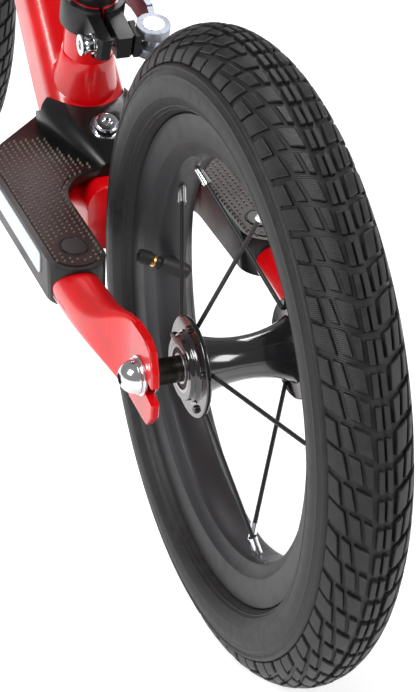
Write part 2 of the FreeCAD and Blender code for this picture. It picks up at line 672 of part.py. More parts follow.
GRIP_INSET = 3.2
grip_face = footrest_outline(GRIP_INSET, TOP - 1.4)
hood_room = rod(Vector(214, 0, TOP - 10), Vector(214, 0, TOP + 10), 46)
left_grip = grip_face.extrude(UP * 1.9).cut(hood_room)
left_grip = max(left_grip.Solids, key=lambda solid: solid.Volume)
shell = shell.cut([left_grip, mirrored(left_grip)])
shell = max(shell.Solids, key=lambda solid: solid.Volume)
feature("footrest_shell", shell, REAR)
feature("footrest_grip_left", left_grip, REAR)
feature("footrest_grip_right", mirrored(left_grip), REAR)

washer = rod(bolt_at, bolt_at + bolt_up * 1.2, 8.2)
head = rod(bolt_at + bolt_up * 1.2, bolt_at + bolt_up * 6, 6.4)
head = head.makeFillet(1.8, [e for e in head.Edges if e.Curve.TypeId == "Part::GeomCircle"
                             and (e.Curve.Center - bolt_at).dot(bolt_up) > 5])
socket = rod(bolt_at + bolt_up * 3.5, bolt_at + bolt_up * 7, 2.6)
shank = rod(bolt_at - bolt_up * 9, bolt_at + bolt_up * 3, 3)
footrest_bolt = fused(washer, head, shank).cut([socket, main_solid])
footrest_bolt = max(footrest_bolt.Solids, key=lambda solid: solid.Volume)
feature("footrest_bolt", footrest_bolt, REAR)


# ---------------------------------------------------------------- quick-release clamps
def clamp(name, tube_radius, collar_radius, centre, up, back):
    """Split collar with two ears, the through bolt and the cam lever on the right."""
    height = dim("collar_height")
    gap, reach, tall = dim("ear_half_gap"), dim("ear_reach"), dim("ear_height")
    place = Placement(REAR.multVec(centre), Rotation(back * -1, LEFT, up, "ZXY"))
    body = doc.addObject("PartDesign::Body", f"{name}_clamp_collar")
    sketch = circles(new_sketch(body, "XY_Plane"), (0, 0, collar_radius))
    padded(body, sketch, "dims.collar_height", both_ways=True)
    ears = new_sketch(body, "XY_Plane")
    outline(ears, [(f"-({collar_radius})+3.5", -10.5), (f"-({collar_radius})+3.5", 8.2),
                   ("-dims.ear_reach+2", 8.2), ("-dims.ear_reach", 6.2),
                   ("-dims.ear_reach", -8.5), ("-dims.ear_reach+2", -10.5)])
    padded(body, ears, "dims.ear_height", both_ways=True)
    split = new_sketch(body, "XY_Plane")
    outline(split, [("-dims.ear_reach-2", "-dims.ear_half_gap"), ("-5", "-dims.ear_half_gap"),
                    ("-5", "dims.ear_half_gap"), ("-dims.ear_reach-2", "dims.ear_half_gap")])
    pocketed(body, split, "dims.collar_height+2", both_ways=True)
    bore = circles(new_sketch(body, "XY_Plane"), (0, 0, f"{tube_radius}+0.02"))
    pocketed(body, bore, "dims.collar_height+2", both_ways=True)
    cross = circles(new_sketch(body, "XZ_Plane"), ("-dims.clamp_bolt_reach", 0, 2.6))
    pocketed(body, cross, "40", both_ways=True)
    keep(body, f"{name}_clamp_collar", place)

    bolt_x = -dim("clamp_bolt_reach")
    left_face, right_face = 8.2, -10.5
    pivot = Vector(bolt_x, right_face - dim("pivot_reach"), 0)
    cam_radius, pin_radius, running = dim("cam_radius"), dim("lever_pin_radius"), dim("running")
    shank = rod(pivot, Vector(bolt_x, left_face + 6, 0), 2.5)
    nut = rod(Vector(bolt_x, left_face + 1.4, 0), Vector(bolt_x, left_face + 6.4, 0), 4.4)
    rim = rod(Vector(bolt_x, left_face + 5, 0), Vector(bolt_x, left_face + 7.4, 0), 5.2)
    pad = rod(Vector(bolt_x, left_face, 0), Vector(bolt_x, left_face + 1.4, 0), 5)
    drive = rod(Vector(bolt_x, left_face + 4.6, 0), Vector(bolt_x, left_face + 8, 0), 2.4)
    pin = Part.makeCylinder(pin_radius, 16.4, pivot - UP * 8.2, UP)
    feature(f"{name}_clamp_bolt", fused(shank, nut, rim, pad, pin).cut(drive), place)

    block = Part.makeBox(13, 3.4, 13, Vector(bolt_x - 6.5, right_face - 3.4, -6.5))
    hollow_seat = Part.makeCylinder(cam_radius + 0.3, 20, pivot - UP * 10, UP)
    block = block.cut([hollow_seat, rod(Vector(bolt_x, -30, 0), Vector(bolt_x, 0, 0), 2.6)])
    block = max(block.Solids, key=lambda solid: solid.Volume)
    feature(f"{name}_clamp_saddle", block, place)

    cam = Part.makeCylinder(cam_radius, 16, pivot - UP * 8, UP)
    slot_room = Part.makeBox(20, 30, 5.6, pivot + Vector(-10, -15, -2.8))
    half_turn_room = slot_room.cut(Part.makeBox(20, 30, 5.6, pivot + Vector(-10, -45, -2.8)))
    arm_points = [pivot + Vector(0, -1.5, 0), pivot + Vector(16, -3.5, 0),
                  pivot + Vector(34, -2, 0), pivot + Vector(52, 3.5, 0)]
    arm = None
    for start, end, wide in zip(arm_points, arm_points[1:], (13, 14, 15)):
        run = end - start
        bar = Part.makeBox(run.Length + 1.5, 3.2, wide, Vector(0, -1.6, -wide / 2))
        bar.Placement = Placement(start, Rotation(Vector(1, 0, 0), run))
        arm = bar if arm is None else arm.fuse(bar)
    lever = cam.fuse(arm).removeSplitter().cut(half_turn_room)
    lever = lever.cut(Part.makeCylinder(pin_radius + running, 40, pivot - UP * 20, UP))
    lever = max(lever.Solids, key=lambda solid: solid.Volume)
    feature(f"{name}_clamp_lever", lever, place)


clamp("seat", "dims.seat_tube_radius", "dims.collar_radius",
      on_seat_axis(dim("seat_tube_top") - 7), SEAT_UP, SEAT_BACK)
STEM_TOP = dim("steerer_top")
clamp("bar", "dims.steerer_radius", "dims.collar_radius",
      on_steer_axis(STEM_TOP - 7), STEER_UP, STEER_AHEAD * -1)

# ---------------------------------------------------------------- seat
post_bottom = on_seat_axis(dim("seat_tube_bottom") + 18)
post_top = on_seat_axis(dim("saddle_height") - 30)
ring("seat_post", "dims.post_radius", "dims.post_radius-1.6", str((post_top - post_bottom).Length),
     from_rear((post_bottom + post_top) * 0.5, SEAT_UP))
plug = rod(post_bottom - SEAT_UP * 2.5, post_bottom, dim("post_radius") - 0.1)
plug = fused(plug, rod(post_bottom, post_bottom + SEAT_UP * 8, dim("post_radius") - 1.6))
feature("seat_post_plug", plug, REAR)

SADDLE_UP = dim("saddle_height")
SADDLE_X = post_top.x + 4
half_saddle = dim("saddle_length") / 2


def saddle_outline(grow, low, high):
    """Solid with the saddle's pear-shaped plan."""
    nose, tail = SADDLE_X + half_saddle + grow, SADDLE_X - half_saddle - grow
    wide = dim("saddle_width") / 2 + grow
    narrow = 21 + grow
    edges = [
        Part.Arc(Vector(nose - 26, -narrow, low), Vector(nose, 0, low),
                 Vector(nose - 26, narrow, low)).toShape(),
        Part.Arc(Vector(nose - 26, narrow, low), Vector(SADDLE_X + 8, narrow + 8, low),
                 Vector(tail + 62, wide - 4, low)).toShape(),
        Part.Arc(Vector(tail + 62, wide - 4, low), Vector(tail + 30, wide, low),
                 Vector(tail + 6, wide - 22, low)).toShape(),
        Part.Arc(Vector(tail + 6, wide - 22, low), Vector(tail, 0, low),
                 Vector(tail + 6, -wide + 22, low)).toShape(),
        Part.Arc(Vector(tail + 6, -wide + 22, low), Vector(tail + 30, -wide, low),
                 Vector(tail + 62, -wide + 4, low)).toShape(),
        Part.Arc(Vector(tail + 62, -wide + 4, low), Vector(SADDLE_X + 8, -narrow - 8, low),
                 Vector(nose - 26, -narrow, low)).toShape(),
    ]
    return Part.Face(Part.Wire(edges)).extrude(UP * (high - low))


feature("saddle_cushion", saddle_outline(0, SADDLE_UP + 5, SADDLE_UP + 38), REAR)

rails = []
for side in (1, -1):
    y = side * 20
    rails.append(bent_rod([Vector(SADDLE_X - 66, y, SADDLE_UP - 0.2),
                           Vector(SADDLE_X - 48, y, SADDLE_UP - 16),
                           Vector(SADDLE_X + 40, y, SADDLE_UP - 16),
                           Vector(SADDLE_X + 62, y, SADDLE_UP - 0.2)], 8, 3.5))
rail_z = SADDLE_UP - 16
feature("saddle_rails", joined(rails), REAR)
feature("saddle_base", saddle_outline(-4, SADDLE_UP, SADDLE_UP + 5).cut(rails), REAR)
clamp_low = Part.makeBox(34, 52, 9, Vector(SADDLE_X - 21, -26, rail_z - 9))
clamp_low = clamp_low.makeFillet(3, [e for e in clamp_low.Edges if abs(e.Length - 9) < 0.01])
clamp_high = Part.makeBox(34, 52, 5.4, Vector(SADDLE_X - 21, -26, rail_z + 0.6))
clamp_high = clamp_high.makeFillet(2, [e for e in clamp_high.Edges if abs(e.Length - 5.4) < 0.01])
neck = rod(post_top, post_top + SEAT_UP * 12, 13.5)
clamp_low = clamp_low.fuse(neck).removeSplitter()
grooves = [rod(Vector(SADDLE_X - 60, side * 20, rail_z), Vector(SADDLE_X + 50, side * 20, rail_z),
               3.5) for side in (1, -1)]
screw_x = SADDLE_X - 4
screw = fused(rod(Vector(screw_x, 0, rail_z - 8), Vector(screw_x, 0, rail_z + 9), 3),
              rod(Vector(screw_x, 0, rail_z + 6), Vector(screw_x, 0, rail_z + 10.5), 6))
clamp_low = clamp_low.cut(grooves + [rod(post_top - SEAT_UP * 40, post_top, 14), screw,
                                     Part.makeBox(60, 60, 20, Vector(SADDLE_X - 34, -30, rail_z))])
feature("saddle_clamp_lower", max(clamp_low.Solids, key=lambda s: s.Volume), REAR)
feature("saddle_clamp_upper", clamp_high.cut(grooves + [screw]), REAR)
feature("saddle_clamp_bolt", screw, REAR)

# ---------------------------------------------------------------- fork and handlebar
steerer_low = on_steer_axis(dim("crown_low") + dim("crown_height"))
steerer_high = on_steer_axis(STEM_TOP)
ring("steerer_tube", "dims.steerer_radius", "dims.bar_radius+dims.sliding",
     "dims.steerer_top-dims.crown_low-dims.crown_height",
     from_rear((steerer_low + steerer_high) * 0.5, STEER_UP))
steerer_slot = new_sketch(doc.getObject("steerer_tube"), "YZ_Plane", "-14")
half_steerer = "(dims.steerer_top-dims.crown_low-dims.crown_height)/2"
outline(steerer_slot, [(-1.2, f"{half_steerer}+2"), (1.2, f"{half_steerer}+2"),
                       (1.2, f"{half_steerer}-22"), (-1.2, f"{half_steerer}-22")])
pocketed(doc.getObject("steerer_tube"), steerer_slot, "12", reverse=True)

race_low = on_steer_axis(dim("head_tube_low") - dim("cup_height") - dim("cup_gap"))
race = rod(on_steer_axis(dim("crown_low") + dim("crown_height")), race_low, 17.5)
feature("crown_race", race.cut(rod(steerer_low - STEER_UP, race_low + STEER_UP,
                                   dim("steerer_radius"))), REAR)
lock_low = on_steer_axis(dim("head_tube_low") + dim("head_tube_length") + dim("cup_height")
                         + dim("cup_gap"))
lock_ring = rod(lock_low, lock_low + STEER_UP * 8, 18.5)
feature("headset_lock_ring", lock_ring.cut(rod(lock_low - STEER_UP, lock_low + STEER_UP * 20,
                                               dim("steerer_radius"))), REAR)

BLADE_TOP_Y = 35
crown_at = on_steer_axis(dim("crown_low") + dim("crown_height") / 2)
crown_half = BLADE_TOP_Y + 12
crown = Part.makeBox(34, 2 * crown_half, dim("crown_height"),
                     Vector(-17, -crown_half, -dim("crown_height") / 2))
crown = crown.makeFillet(6, [e for e in crown.Edges if abs(e.Length - dim("crown_height")) < 0.01])
crown.Placement = Placement(crown_at, Rotation(STEER_AHEAD, LEFT, STEER_UP, "ZXY"))
fork_tyre_room = Part.makeCylinder(dim("tyre_radius") + 6, 60, Vector(dim("wheelbase"), -30, 0),
                                   LEFT)
crown = crown.cut(fork_tyre_room)


def blade_sections(grow):
    plate_y = dim("dropout_face") + dim("dropout_thickness") / 2
    axle = Vector(dim("wheelbase"), 0, 0)
    stations = [
        # distance up the steering axis, forward of it, lateral, half width, half depth
        (dim("crown_low") + 4, 0, BLADE_TOP_Y, 9.5, 12), (130, 1, BLADE_TOP_Y + 2, 9.5, 12),
        (90, 4, BLADE_TOP_Y + 5.5, 9, 11.5), (50, 9, BLADE_TOP_Y + 8.6, 7.5, 11),
        (30, 13, plate_y - 0.6, 5, 12), (18, 15.5, plate_y, 2.2, 13.5), (12, 17, plate_y, 2.0, 13.5),
    ]
    spots = [on_steer_axis(up) + STEER_AHEAD * ahead + LEFT * y for up, ahead, y, _, _ in stations]
    sections = []
    for index, (_, _, _, half_w, half_h) in enumerate(stations):
        before, after = spots[max(index - 1, 0)], spots[min(index + 1, len(spots) - 1)]
        run = after - before
        run.y = run.y * 0.2
        sections.append((spots[index], run, 2 * (half_w + grow), 2 * (half_h + grow),
                         half_w + grow))
    return sections


blade = loft(blade_sections(0))
fork_face = dim("dropout_face")
fork_plate = Part.makeCylinder(13.5, dim("dropout_thickness"),
                               Vector(dim("wheelbase"), fork_face, 0), LEFT)
fork_plate = fork_plate.fuse(Part.makeBox(27, dim("dropout_thickness"), 14,
                                          Vector(dim("wheelbase") - 13.5, fork_face, 0)))
fork_slot = Part.makeBox(7.8, 8, 30, Vector(dim("wheelbase") - 3.9, fork_face - 2, -30))
fork_slot = fork_slot.fuse(Part.makeCylinder(3.9, 8, Vector(dim("wheelbase"), fork_face - 2, 0),
                                             LEFT))
blade_hollow = loft(blade_sections(-1.6)[:4])
blade = blade.fuse(fork_plate).removeSplitter().cut([fork_slot, blade_hollow])
blade = max(blade.Solids, key=lambda solid: solid.Volume)
crown = crown.cut([loft(blade_sections(0)), mirrored(loft(blade_sections(0)))])
crown = max(crown.Solids, key=lambda solid: solid.Volume)
feature("fork_crown", crown, REAR)
feature("fork_blade_left", blade, REAR)
feature("fork_blade_right", mirrored(blade), REAR)

bar_post_low = on_steer_axis(STEM_TOP - 110)
BAR_UP = (dim("bar_height") - STEER_FOOT.z) / math.sin(HEAD)
bar_mid = on_steer_axis(BAR_UP)
post = rod(bar_post_low, bar_mid - STEER_UP * 2, dim("bar_radius"))
post = post.cut(rod(bar_post_low - STEER_UP, bar_mid - STEER_UP * 20, dim("bar_radius") - 1.6))

rise, half_bar = dim("bar_rise"), dim("bar_half_width")
sweep_back = STEER_AHEAD * -18
bar_points = [
    bar_mid + STEER_UP * rise + sweep_back + LEFT * half_bar,
    bar_mid + STEER_UP * rise + LEFT * 84,
    bar_mid + LEFT * 48,
    bar_mid - LEFT * 48,
    bar_mid + STEER_UP * rise - LEFT * 84,
    bar_mid + STEER_UP * rise + sweep_back - LEFT * half_bar,
]
bar = bent_rod(bar_points, 30, dim("bar_radius"))
bar_core = bent_rod(bar_points, 30, dim("bar_radius") - 1.6)
post = post.cut(bar)
post = max(post.Solids, key=lambda solid: solid.Volume)
feature("handlebar_post", post, REAR)
feature("handlebar", bar.cut(bar_core), REAR)

grip_run = (bar_points[0] - bar_points[1]).normalize()
grip_end = bar_points[0]
GRIP_CAP = 6


def grip():
    start = grip_end - grip_run * dim("grip_length")
    inner_flange = rod(start, start + grip_run * 5, 20)
    barrel = rod(start, grip_end + grip_run * GRIP_CAP, dim("grip_radius"))
    outer_flange = rod(grip_end - grip_run * 2, grip_end + grip_run * GRIP_CAP, 21)
    solid = fused(barrel, inner_flange, outer_flange)
    big = [e for e in solid.Edges if e.Curve.TypeId == "Part::GeomCircle" and e.Curve.Radius > 19]
    solid = solid.makeFillet(2, big)
    return solid.cut(rod(start - grip_run, grip_end, dim("bar_radius")))


left_handle = grip()
feature("grip_left", left_handle, REAR)
feature("grip_right", mirrored(left_handle), REAR)

# ---------------------------------------------------------------- check and write
doc.recompute()
for item in doc.Objects:
    if "Invalid" in item.State or "Error" in item.State:
        raise RuntimeError(f"{item.Name} ({item.Label}) failed: {item.State}")
labels = [item.Label for item in parts]
if len(set(labels)) != len(labels):
    raise RuntimeError("two sub-parts share a name")
os.makedirs("parts", exist_ok=True)
for item in parts:
    shape = item.Shape
    if shape.isNull() or not shape.isValid() or not shape.Solids:
        raise RuntimeError(f"{item.Label} has no valid solid")
    shape.exportStep(f"parts/{item.Label}.step")
    print(f"{item.Label}: {len(shape.Solids)} solids, {shape.Volume / 1000:.1f} cm3")
print(f"{len(parts)} sub-parts written")
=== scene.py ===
# %% [markdown]
# # A child's balance bike
#
# The bike stands on a pale floor and is seen from behind, from the left and from above, close to
# the rear wheel. Its frame, tubes, bolts and wheels come from the engineering model, and each of
# them gets a finish of its own. What rubber, foam and moulding add is modelled here: the road
# tread, the dotted footrest, the padded saddle and the ribbed grips.

import math

import bmesh
import bpy
from mathutils import Matrix, Vector


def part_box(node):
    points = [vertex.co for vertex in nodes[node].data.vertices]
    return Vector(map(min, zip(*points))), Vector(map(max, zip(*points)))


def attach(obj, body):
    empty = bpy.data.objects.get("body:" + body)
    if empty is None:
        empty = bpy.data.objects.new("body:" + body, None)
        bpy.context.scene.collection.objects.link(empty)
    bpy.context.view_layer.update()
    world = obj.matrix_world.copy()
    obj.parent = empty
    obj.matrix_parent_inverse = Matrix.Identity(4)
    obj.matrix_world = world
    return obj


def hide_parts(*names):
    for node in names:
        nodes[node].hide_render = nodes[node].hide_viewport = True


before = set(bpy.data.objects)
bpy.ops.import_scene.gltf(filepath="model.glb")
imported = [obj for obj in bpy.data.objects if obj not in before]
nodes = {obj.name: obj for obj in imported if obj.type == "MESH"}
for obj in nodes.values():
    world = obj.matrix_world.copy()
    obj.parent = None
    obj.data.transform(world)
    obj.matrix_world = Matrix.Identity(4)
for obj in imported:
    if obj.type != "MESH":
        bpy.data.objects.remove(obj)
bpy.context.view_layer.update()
print(f"{len(nodes)} pieces loaded")

# %% [markdown]
# ## Where things are
#
# One millimetre is a handy unit for a bike part, so sizes below are written in millimetres and
# turned into metres once. The two wheel centres come from the model's own boxes.

# %% Wheel centres and units
MM = 0.001


def middle_of(node):
    """Centre of a piece of the engineering model, in metres."""
    low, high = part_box(node)
    return (Vector(low) + Vector(high)) / 2


WHEEL_CENTRES = {end: middle_of(f"{end}_rim") for end in ("rear", "front")}
REAR_AXLE = Vector((WHEEL_CENTRES["rear"].x, 0, WHEEL_CENTRES["rear"].z))
for centre in WHEEL_CENTRES.values():
    centre.y = 0
print("wheel centres", {end: tuple(round(v, 4) for v in c) for end, c in WHEEL_CENTRES.items()})


def from_rear(x, y, z):
    """A point given in millimetres from the middle of the rear axle, in metres."""
    return REAR_AXLE + Vector((x, y, z)) * MM


# %% [markdown]
# ## Camera
#
# The picture is taken with a long lens from close behind the rear wheel. A long lens keeps the
# tyre's ellipse calm. The camera is placed by the directions of its right, up and back axes,
# which are simply the columns of its matrix.

# %% Camera
bpy.ops.object.select_all(action="DESELECT")
bpy.ops.object.camera_add()
camera = bpy.context.object
camera.name = "view_camera"
right = Vector((-0.35922, -0.93227, 0.04291))
down = Vector((-0.51296, 0.15882, -0.84359))
ahead = Vector((0.77963, -0.32505, -0.53527))
turn = Matrix((right, -down, -ahead)).transposed().to_4x4()
camera.matrix_world = Matrix.Translation(from_rear(-711.68, 312.09, 494.52)) @ turn
camera.data.sensor_width = 36
camera.data.lens = 109.38
camera.data.shift_x = -0.0035
camera.data.shift_y = 0.0084
bpy.context.scene.camera = camera

# %% [markdown]
# ## Floor and light
#
# The floor is one big sheet of white paper that glows a little, so that it stays white. A key
# light stands to the upper left and draws long soft highlights on the painted tubes. A second one
# stands beyond the front wheel and glances off the top of the footrest, and a third gives the
# tyre its edge. The surround is kept weak, so that black rubber and black plastic stay deep.

# %% Floor
bpy.ops.object.select_all(action="DESELECT")
bpy.ops.mesh.primitive_plane_add(size=14, location=(0, 0, -0.0002))
floor = bpy.context.object
floor.name = "studio_floor"
paper = bpy.data.materials.new("white_paper")
paper.use_nodes = True
paper_shader = paper.node_tree.nodes["Principled BSDF"]
paper_shader.inputs["Base Color"].default_value = (0.93, 0.93, 0.93, 1)
paper_shader.inputs["Roughness"].default_value = 0.9
paper_shader.inputs["Specular IOR Level"].default_value = 0.1
paper_shader.inputs["Emission Color"].default_value = (1, 1, 1, 1)
paper_shader.inputs["Emission Strength"].default_value = 0.35
floor.data.materials.append(paper)

# %% Lights and surround


def area_light(name, place, aim, size, power):
    """A square soft light that faces a point."""
    bpy.ops.object.light_add(type="AREA", location=place)
    light = bpy.context.object
    light.name = name
    light.data.size = size
    light.data.energy = power
    light.rotation_euler = (Vector(aim) - Vector(place)).to_track_quat("-Z", "Y").to_euler()


area_light("key_light", (-0.9, 1.6, 2.0), (-0.15, 0, 0.15), 1.1, 58)
area_light("back_light", (1.6, -0.5, 1.9), (-0.2, 0, 0.15), 1.0, 34)
area_light("edge_light", (-1.3, -1.5, 1.3), (-0.2, 0, 0.15), 0.8, 22)

world = bpy.data.worlds.new("studio")
bpy.context.scene.world = world
world.use_nodes = True
surround = world.node_tree.nodes["Background"]
surround.inputs["Color"].default_value = (1, 1, 1, 1)
surround.inputs["Strength"].default_value = 0.3
bpy.context.scene.view_settings.view_transform = "Standard"

# %% [markdown]
# ## How a finish is written
#
# A finish is a little sum: some noise, a stripe, a mask, added and multiplied. Blender stores
# that sum as nodes. Writing the nodes out by hand hides the sum, so a small class wraps one
# socket and lets Python's own signs add the Math nodes.

# %% Sockets that can be added and multiplied


class Signal:
    """One number that varies over a surface."""

    def __init__(self, finish, socket):
        self.finish = finish
        self.socket = socket

    def sum_with(self, operation, *others):
        values = dict(enumerate((self, *others)))
        return self.finish.node("ShaderNodeMath", {"operation": operation}, values)

    def __add__(self, other):
        return self.sum_with("ADD", other)

    def __mul__(self, other):
        return self.sum_with("MULTIPLY", other)

    def __sub__(self, other):
        return self.sum_with("SUBTRACT", other)

    def __rsub__(self, other):
        return Signal.sum_with(self * -1, "ADD", other)

    __radd__ = __add__
    __rmul__ = __mul__

    def above(self, low, high):
        """0 under low, 1 over high, smooth between."""
        return self.finish.node("ShaderNodeMapRange", {"interpolation_type": "SMOOTHSTEP"},
                                {"Value": self, "From Min": low, "From Max": high})


class Finish:
    """A material whose fixed numbers sit on the shader and whose patterns are signals."""

    def __init__(self, name, colour, **fixed):
        self.material = bpy.data.materials.new(name)
        self.material.use_nodes = True
        self.tree = self.material.node_tree
        self.shader = self.tree.nodes["Principled BSDF"]
        self.shader.inputs["Base Color"].default_value = (*colour, 1)
        for word, value in fixed.items():
            socket = word.replace("_", " ").title().replace("Ior", "IOR")
            self.shader.inputs[socket].default_value = value
        self.material.diffuse_color = (*colour, 1)

    def node(self, kind, settings=None, values=None, output=0):
        """Add a node: first its settings, then a value or a link for each socket."""
        made = self.tree.nodes.new(kind)
        for name, value in (settings or {}).items():
            setattr(made, name, value)
        for name, value in (values or {}).items():
            if isinstance(value, Signal):
                self.tree.links.new(value.socket, made.inputs[name])
            else:
                made.inputs[name].default_value = value
        return Signal(self, made.outputs[output])

    def place(self, centre=(0, 0, 0)):
        """Where a point of the piece is, in metres, counted from a centre."""
        spot = self.node("ShaderNodeTexCoord", output="Object")
        return self.node("ShaderNodeVectorMath", {"operation": "SUBTRACT"},
                         {0: spot, 1: tuple(centre)})

    def axes(self, spot):
        """The three coordinates of a place as numbers."""
        made = self.tree.nodes.new("ShaderNodeSeparateXYZ")
        self.tree.links.new(spot.socket, made.inputs[0])
        return [Signal(self, made.outputs[index]) for index in range(3)]

    def radius(self, spot):
        """Distance of a place from the wheel's axis, when the place is counted from its centre."""
        flat = self.node("ShaderNodeVectorMath", {"operation": "MULTIPLY"}, {0: spot, 1: (1, 0, 1)})
        return self.node("ShaderNodeVectorMath", {"operation": "LENGTH"}, {0: flat}, "Value")

    def noise(self, size, detail=3.0, rough=0.55):
        """Cloudy noise whose blotches are about one size across, in millimetres."""
        return self.node("ShaderNodeTexNoise", None, {
            "Vector": self.place(), "Scale": 1 / (size * MM), "Detail": detail,
            "Roughness": rough})

    def mix(self, share, first, second):
        """A colour between two colours."""
        made = self.tree.nodes.new("ShaderNodeMix")
        made.data_type = "RGBA"
        self.tree.links.new(share.socket, made.inputs[0])
        for socket, colour in ((6, first), (7, second)):
            if isinstance(colour, Signal):
                self.tree.links.new(colour.socket, made.inputs[socket])
            else:
                made.inputs[socket].default_value = (*colour, 1)
        return Signal(self, made.outputs[2])

    def set(self, socket, signal):
        self.tree.links.new(signal.socket, self.shader.inputs[socket])

    def bump(self, height, depth, strength=1.0):
        """Relief of a depth in millimetres."""
        relief = self.node("ShaderNodeBump", None,
                           {"Height": height, "Distance": depth * MM, "Strength": strength})
        self.set("Normal", relief)


# %% [markdown]
# ## Painted tubes
#
# The frame is sprayed: a saturated red under a clear coat. Spray never dries quite flat, so
# a weak bump of a few millimetres bends the reflections like the skin of an orange, and the red
# is a touch deeper where the coat is thick.

# %% Red paint


def sprayed_paint(name, thin, thick, roughness, coat):
    paint = Finish(name, thin, roughness=roughness, coat_weight=coat, coat_roughness=0.04,
                   specular_ior_level=0.5)
    clouds = paint.noise(26, detail=2)
    paint.set("Base Color", paint.mix(clouds.above(0.35, 0.7), thin, thick))
    dust = paint.noise(0.9, detail=2).above(0.6, 0.78)
    paint.set("Roughness", roughness + dust * 0.08)
    paint.bump(paint.noise(3.2, detail=1.5), 0.035)
    return paint.material


red_paint = sprayed_paint("red_gloss_paint", (0.64, 0.0, 0.003), (0.5, 0.0, 0.002), 0.3, 0.45)
black_paint = sprayed_paint("black_satin_paint", (0.012, 0.012, 0.013), (0.008, 0.008, 0.009), 0.3,
                            0.35)

# %% [markdown]
# ## Moulded plastic
#
# Moulded parts copy the skin of a polished or an etched steel mould. Polished plastic keeps faint
# hair scratches from handling; etched plastic has a fine even grain. Both use the same noise at
# different sizes.

# %% Gloss and grained plastic


def moulded_plastic(name, colour, worn, roughness, grain, depth, coat=0.0):
    plastic = Finish(name, colour, roughness=roughness, coat_weight=coat, coat_roughness=0.12,
                     specular_ior_level=0.3)
    grain_signal = plastic.noise(grain, detail=4, rough=0.6)
    handled = plastic.noise(18, detail=3).above(0.45, 0.75)
    plastic.set("Base Color", plastic.mix(handled, colour, worn))
    plastic.set("Roughness", roughness + handled * 0.09 + grain_signal * 0.05)
    plastic.bump(grain_signal, depth)
    return plastic.material


gloss_plastic = moulded_plastic("black_gloss_plastic", (0.006, 0.006, 0.006), (0.009, 0.008, 0.008),
                                0.3, 1.6, 0.02)
# The black grip plates are tinted maroon in both colours: a painted reflection of the red frame tubes.
tread_plastic = moulded_plastic("black_plastic_painted_red_reflection", (0.014, 0.003, 0.004),
                                (0.018, 0.004, 0.005), 0.42, 0.8, 0.03)
# The dots are coloured far lighter than the black plate: a painted highlight standing in for the gleam
# on each small dome.
dot_plastic = moulded_plastic("dot_plastic_painted_highlight", (0.16, 0.12, 0.10), (0.2, 0.15, 0.12), 0.4, 0.8,
                              0.01)
matte_plastic = moulded_plastic("black_matte_plastic", (0.009, 0.009, 0.009), (0.014, 0.014, 0.014),
                                0.5, 0.5, 0.03)
panel_plastic = moulded_plastic("silver_side_panel", (0.60, 0.64, 0.70), (0.52, 0.55, 0.61), 0.3,
                                0.7, 0.015, coat=0.3)

# %% [markdown]
# ## Metals
#
# Turned metal carries fine rings round its axis, so the ring pattern is a wave of the distance
# from the axle. The rim was blasted and dyed dark grey, so it has grain instead of rings. Bright
# steel is nearly a mirror, but fingerprints and fine scratches break it up.

# %% Plain and turned metals


def bare_metal(name, colour, roughness, grain=0.7, depth=0.012, metallic=1.0):
    metal = Finish(name, colour, metallic=metallic)
    grain_signal = metal.noise(grain, detail=4, rough=0.65)
    smudge = metal.noise(9, detail=3).above(0.4, 0.8)
    metal.set("Roughness", roughness + smudge * 0.1 + grain_signal * 0.05)
    metal.bump(grain_signal, depth)
    return metal.material


def turned_metal(name, colour, centre, roughness, pitch, depth, metallic, coat):
    """Metal from the lathe, with rings that follow the wheel's axis."""
    metal = Finish(name, colour, metallic=metallic, coat_weight=coat, coat_roughness=0.08)
    spot = metal.place(centre)
    lateral = metal.axes(spot)[1]
    rings = ((metal.radius(spot) + lateral) * (2 * math.pi / (pitch * MM))).sum_with("SINE")
    smudge = metal.noise(7, detail=3).above(0.4, 0.75)
    metal.set("Roughness", roughness + smudge * 0.08)
    metal.bump(rings + metal.noise(0.8), depth)
    return metal.material


bright_steel = bare_metal("bright_steel", (0.72, 0.73, 0.75), 0.1)
satin_alloy = bare_metal("satin_alloy", (0.25, 0.265, 0.31), 0.4, grain=0.35, depth=0.01, metallic=0.85)
rail_steel = bare_metal("rail_steel", (0.5, 0.5, 0.52), 0.28)
dark_bronze = bare_metal("dark_bronze", (0.09, 0.075, 0.065), 0.24)
black_wire = bare_metal("black_wire", (0.02, 0.02, 0.022), 0.3, metallic=0.6)
black_anodised = bare_metal("black_anodised", (0.008, 0.008, 0.009), 0.34, grain=0.3, metallic=0.3)
brass = bare_metal("brass", (0.62, 0.42, 0.16), 0.22)
rim_grey = bare_metal("rim_grey", (0.036, 0.037, 0.04), 0.42, grain=0.28, depth=0.02, metallic=0.5)
hub_black = {end: turned_metal(f"{end}_hub_black", (0.010, 0.010, 0.011), centre, 0.13, 0.5, 0.002,
                               0.25, 0.9) for end, centre in WHEEL_CENTRES.items()}

# %% [markdown]
# ## Bearings
#
# A sealed bearing shows three rings on its face: the steel outer race, a dark rubber seal and
# the steel inner race. The seal is told apart by its distance from the axle, so one material on
# one piece shows all three.

# %% Bearing with its seal


SEAL_BORE, SEAL_RIM = 6.9, 9.4
SEAL_BLUR = 0.05


def sealed_bearing(end, centre):
    bearing = Finish(f"{end}_sealed_bearing", (0.4, 0.4, 0.42))
    radius = bearing.radius(bearing.place(centre))
    beyond_bore = radius.above((SEAL_BORE - SEAL_BLUR) * MM, (SEAL_BORE + SEAL_BLUR) * MM)
    beyond_rim = radius.above((SEAL_RIM - SEAL_BLUR) * MM, (SEAL_RIM + SEAL_BLUR) * MM)
    seal = beyond_bore * (1 - beyond_rim)
    bearing.set("Base Color", bearing.mix(seal, (0.42, 0.42, 0.44), (0.03, 0.03, 0.03)))
    bearing.set("Metallic", 1 - seal)
    bearing.set("Roughness", 0.22 + seal * 0.35 + bearing.noise(2.0) * 0.06)
    bearing.bump(bearing.noise(0.5), 0.01)
    return bearing.material


bearing_steel = {end: sealed_bearing(end, centre) for end, centre in WHEEL_CENTRES.items()}

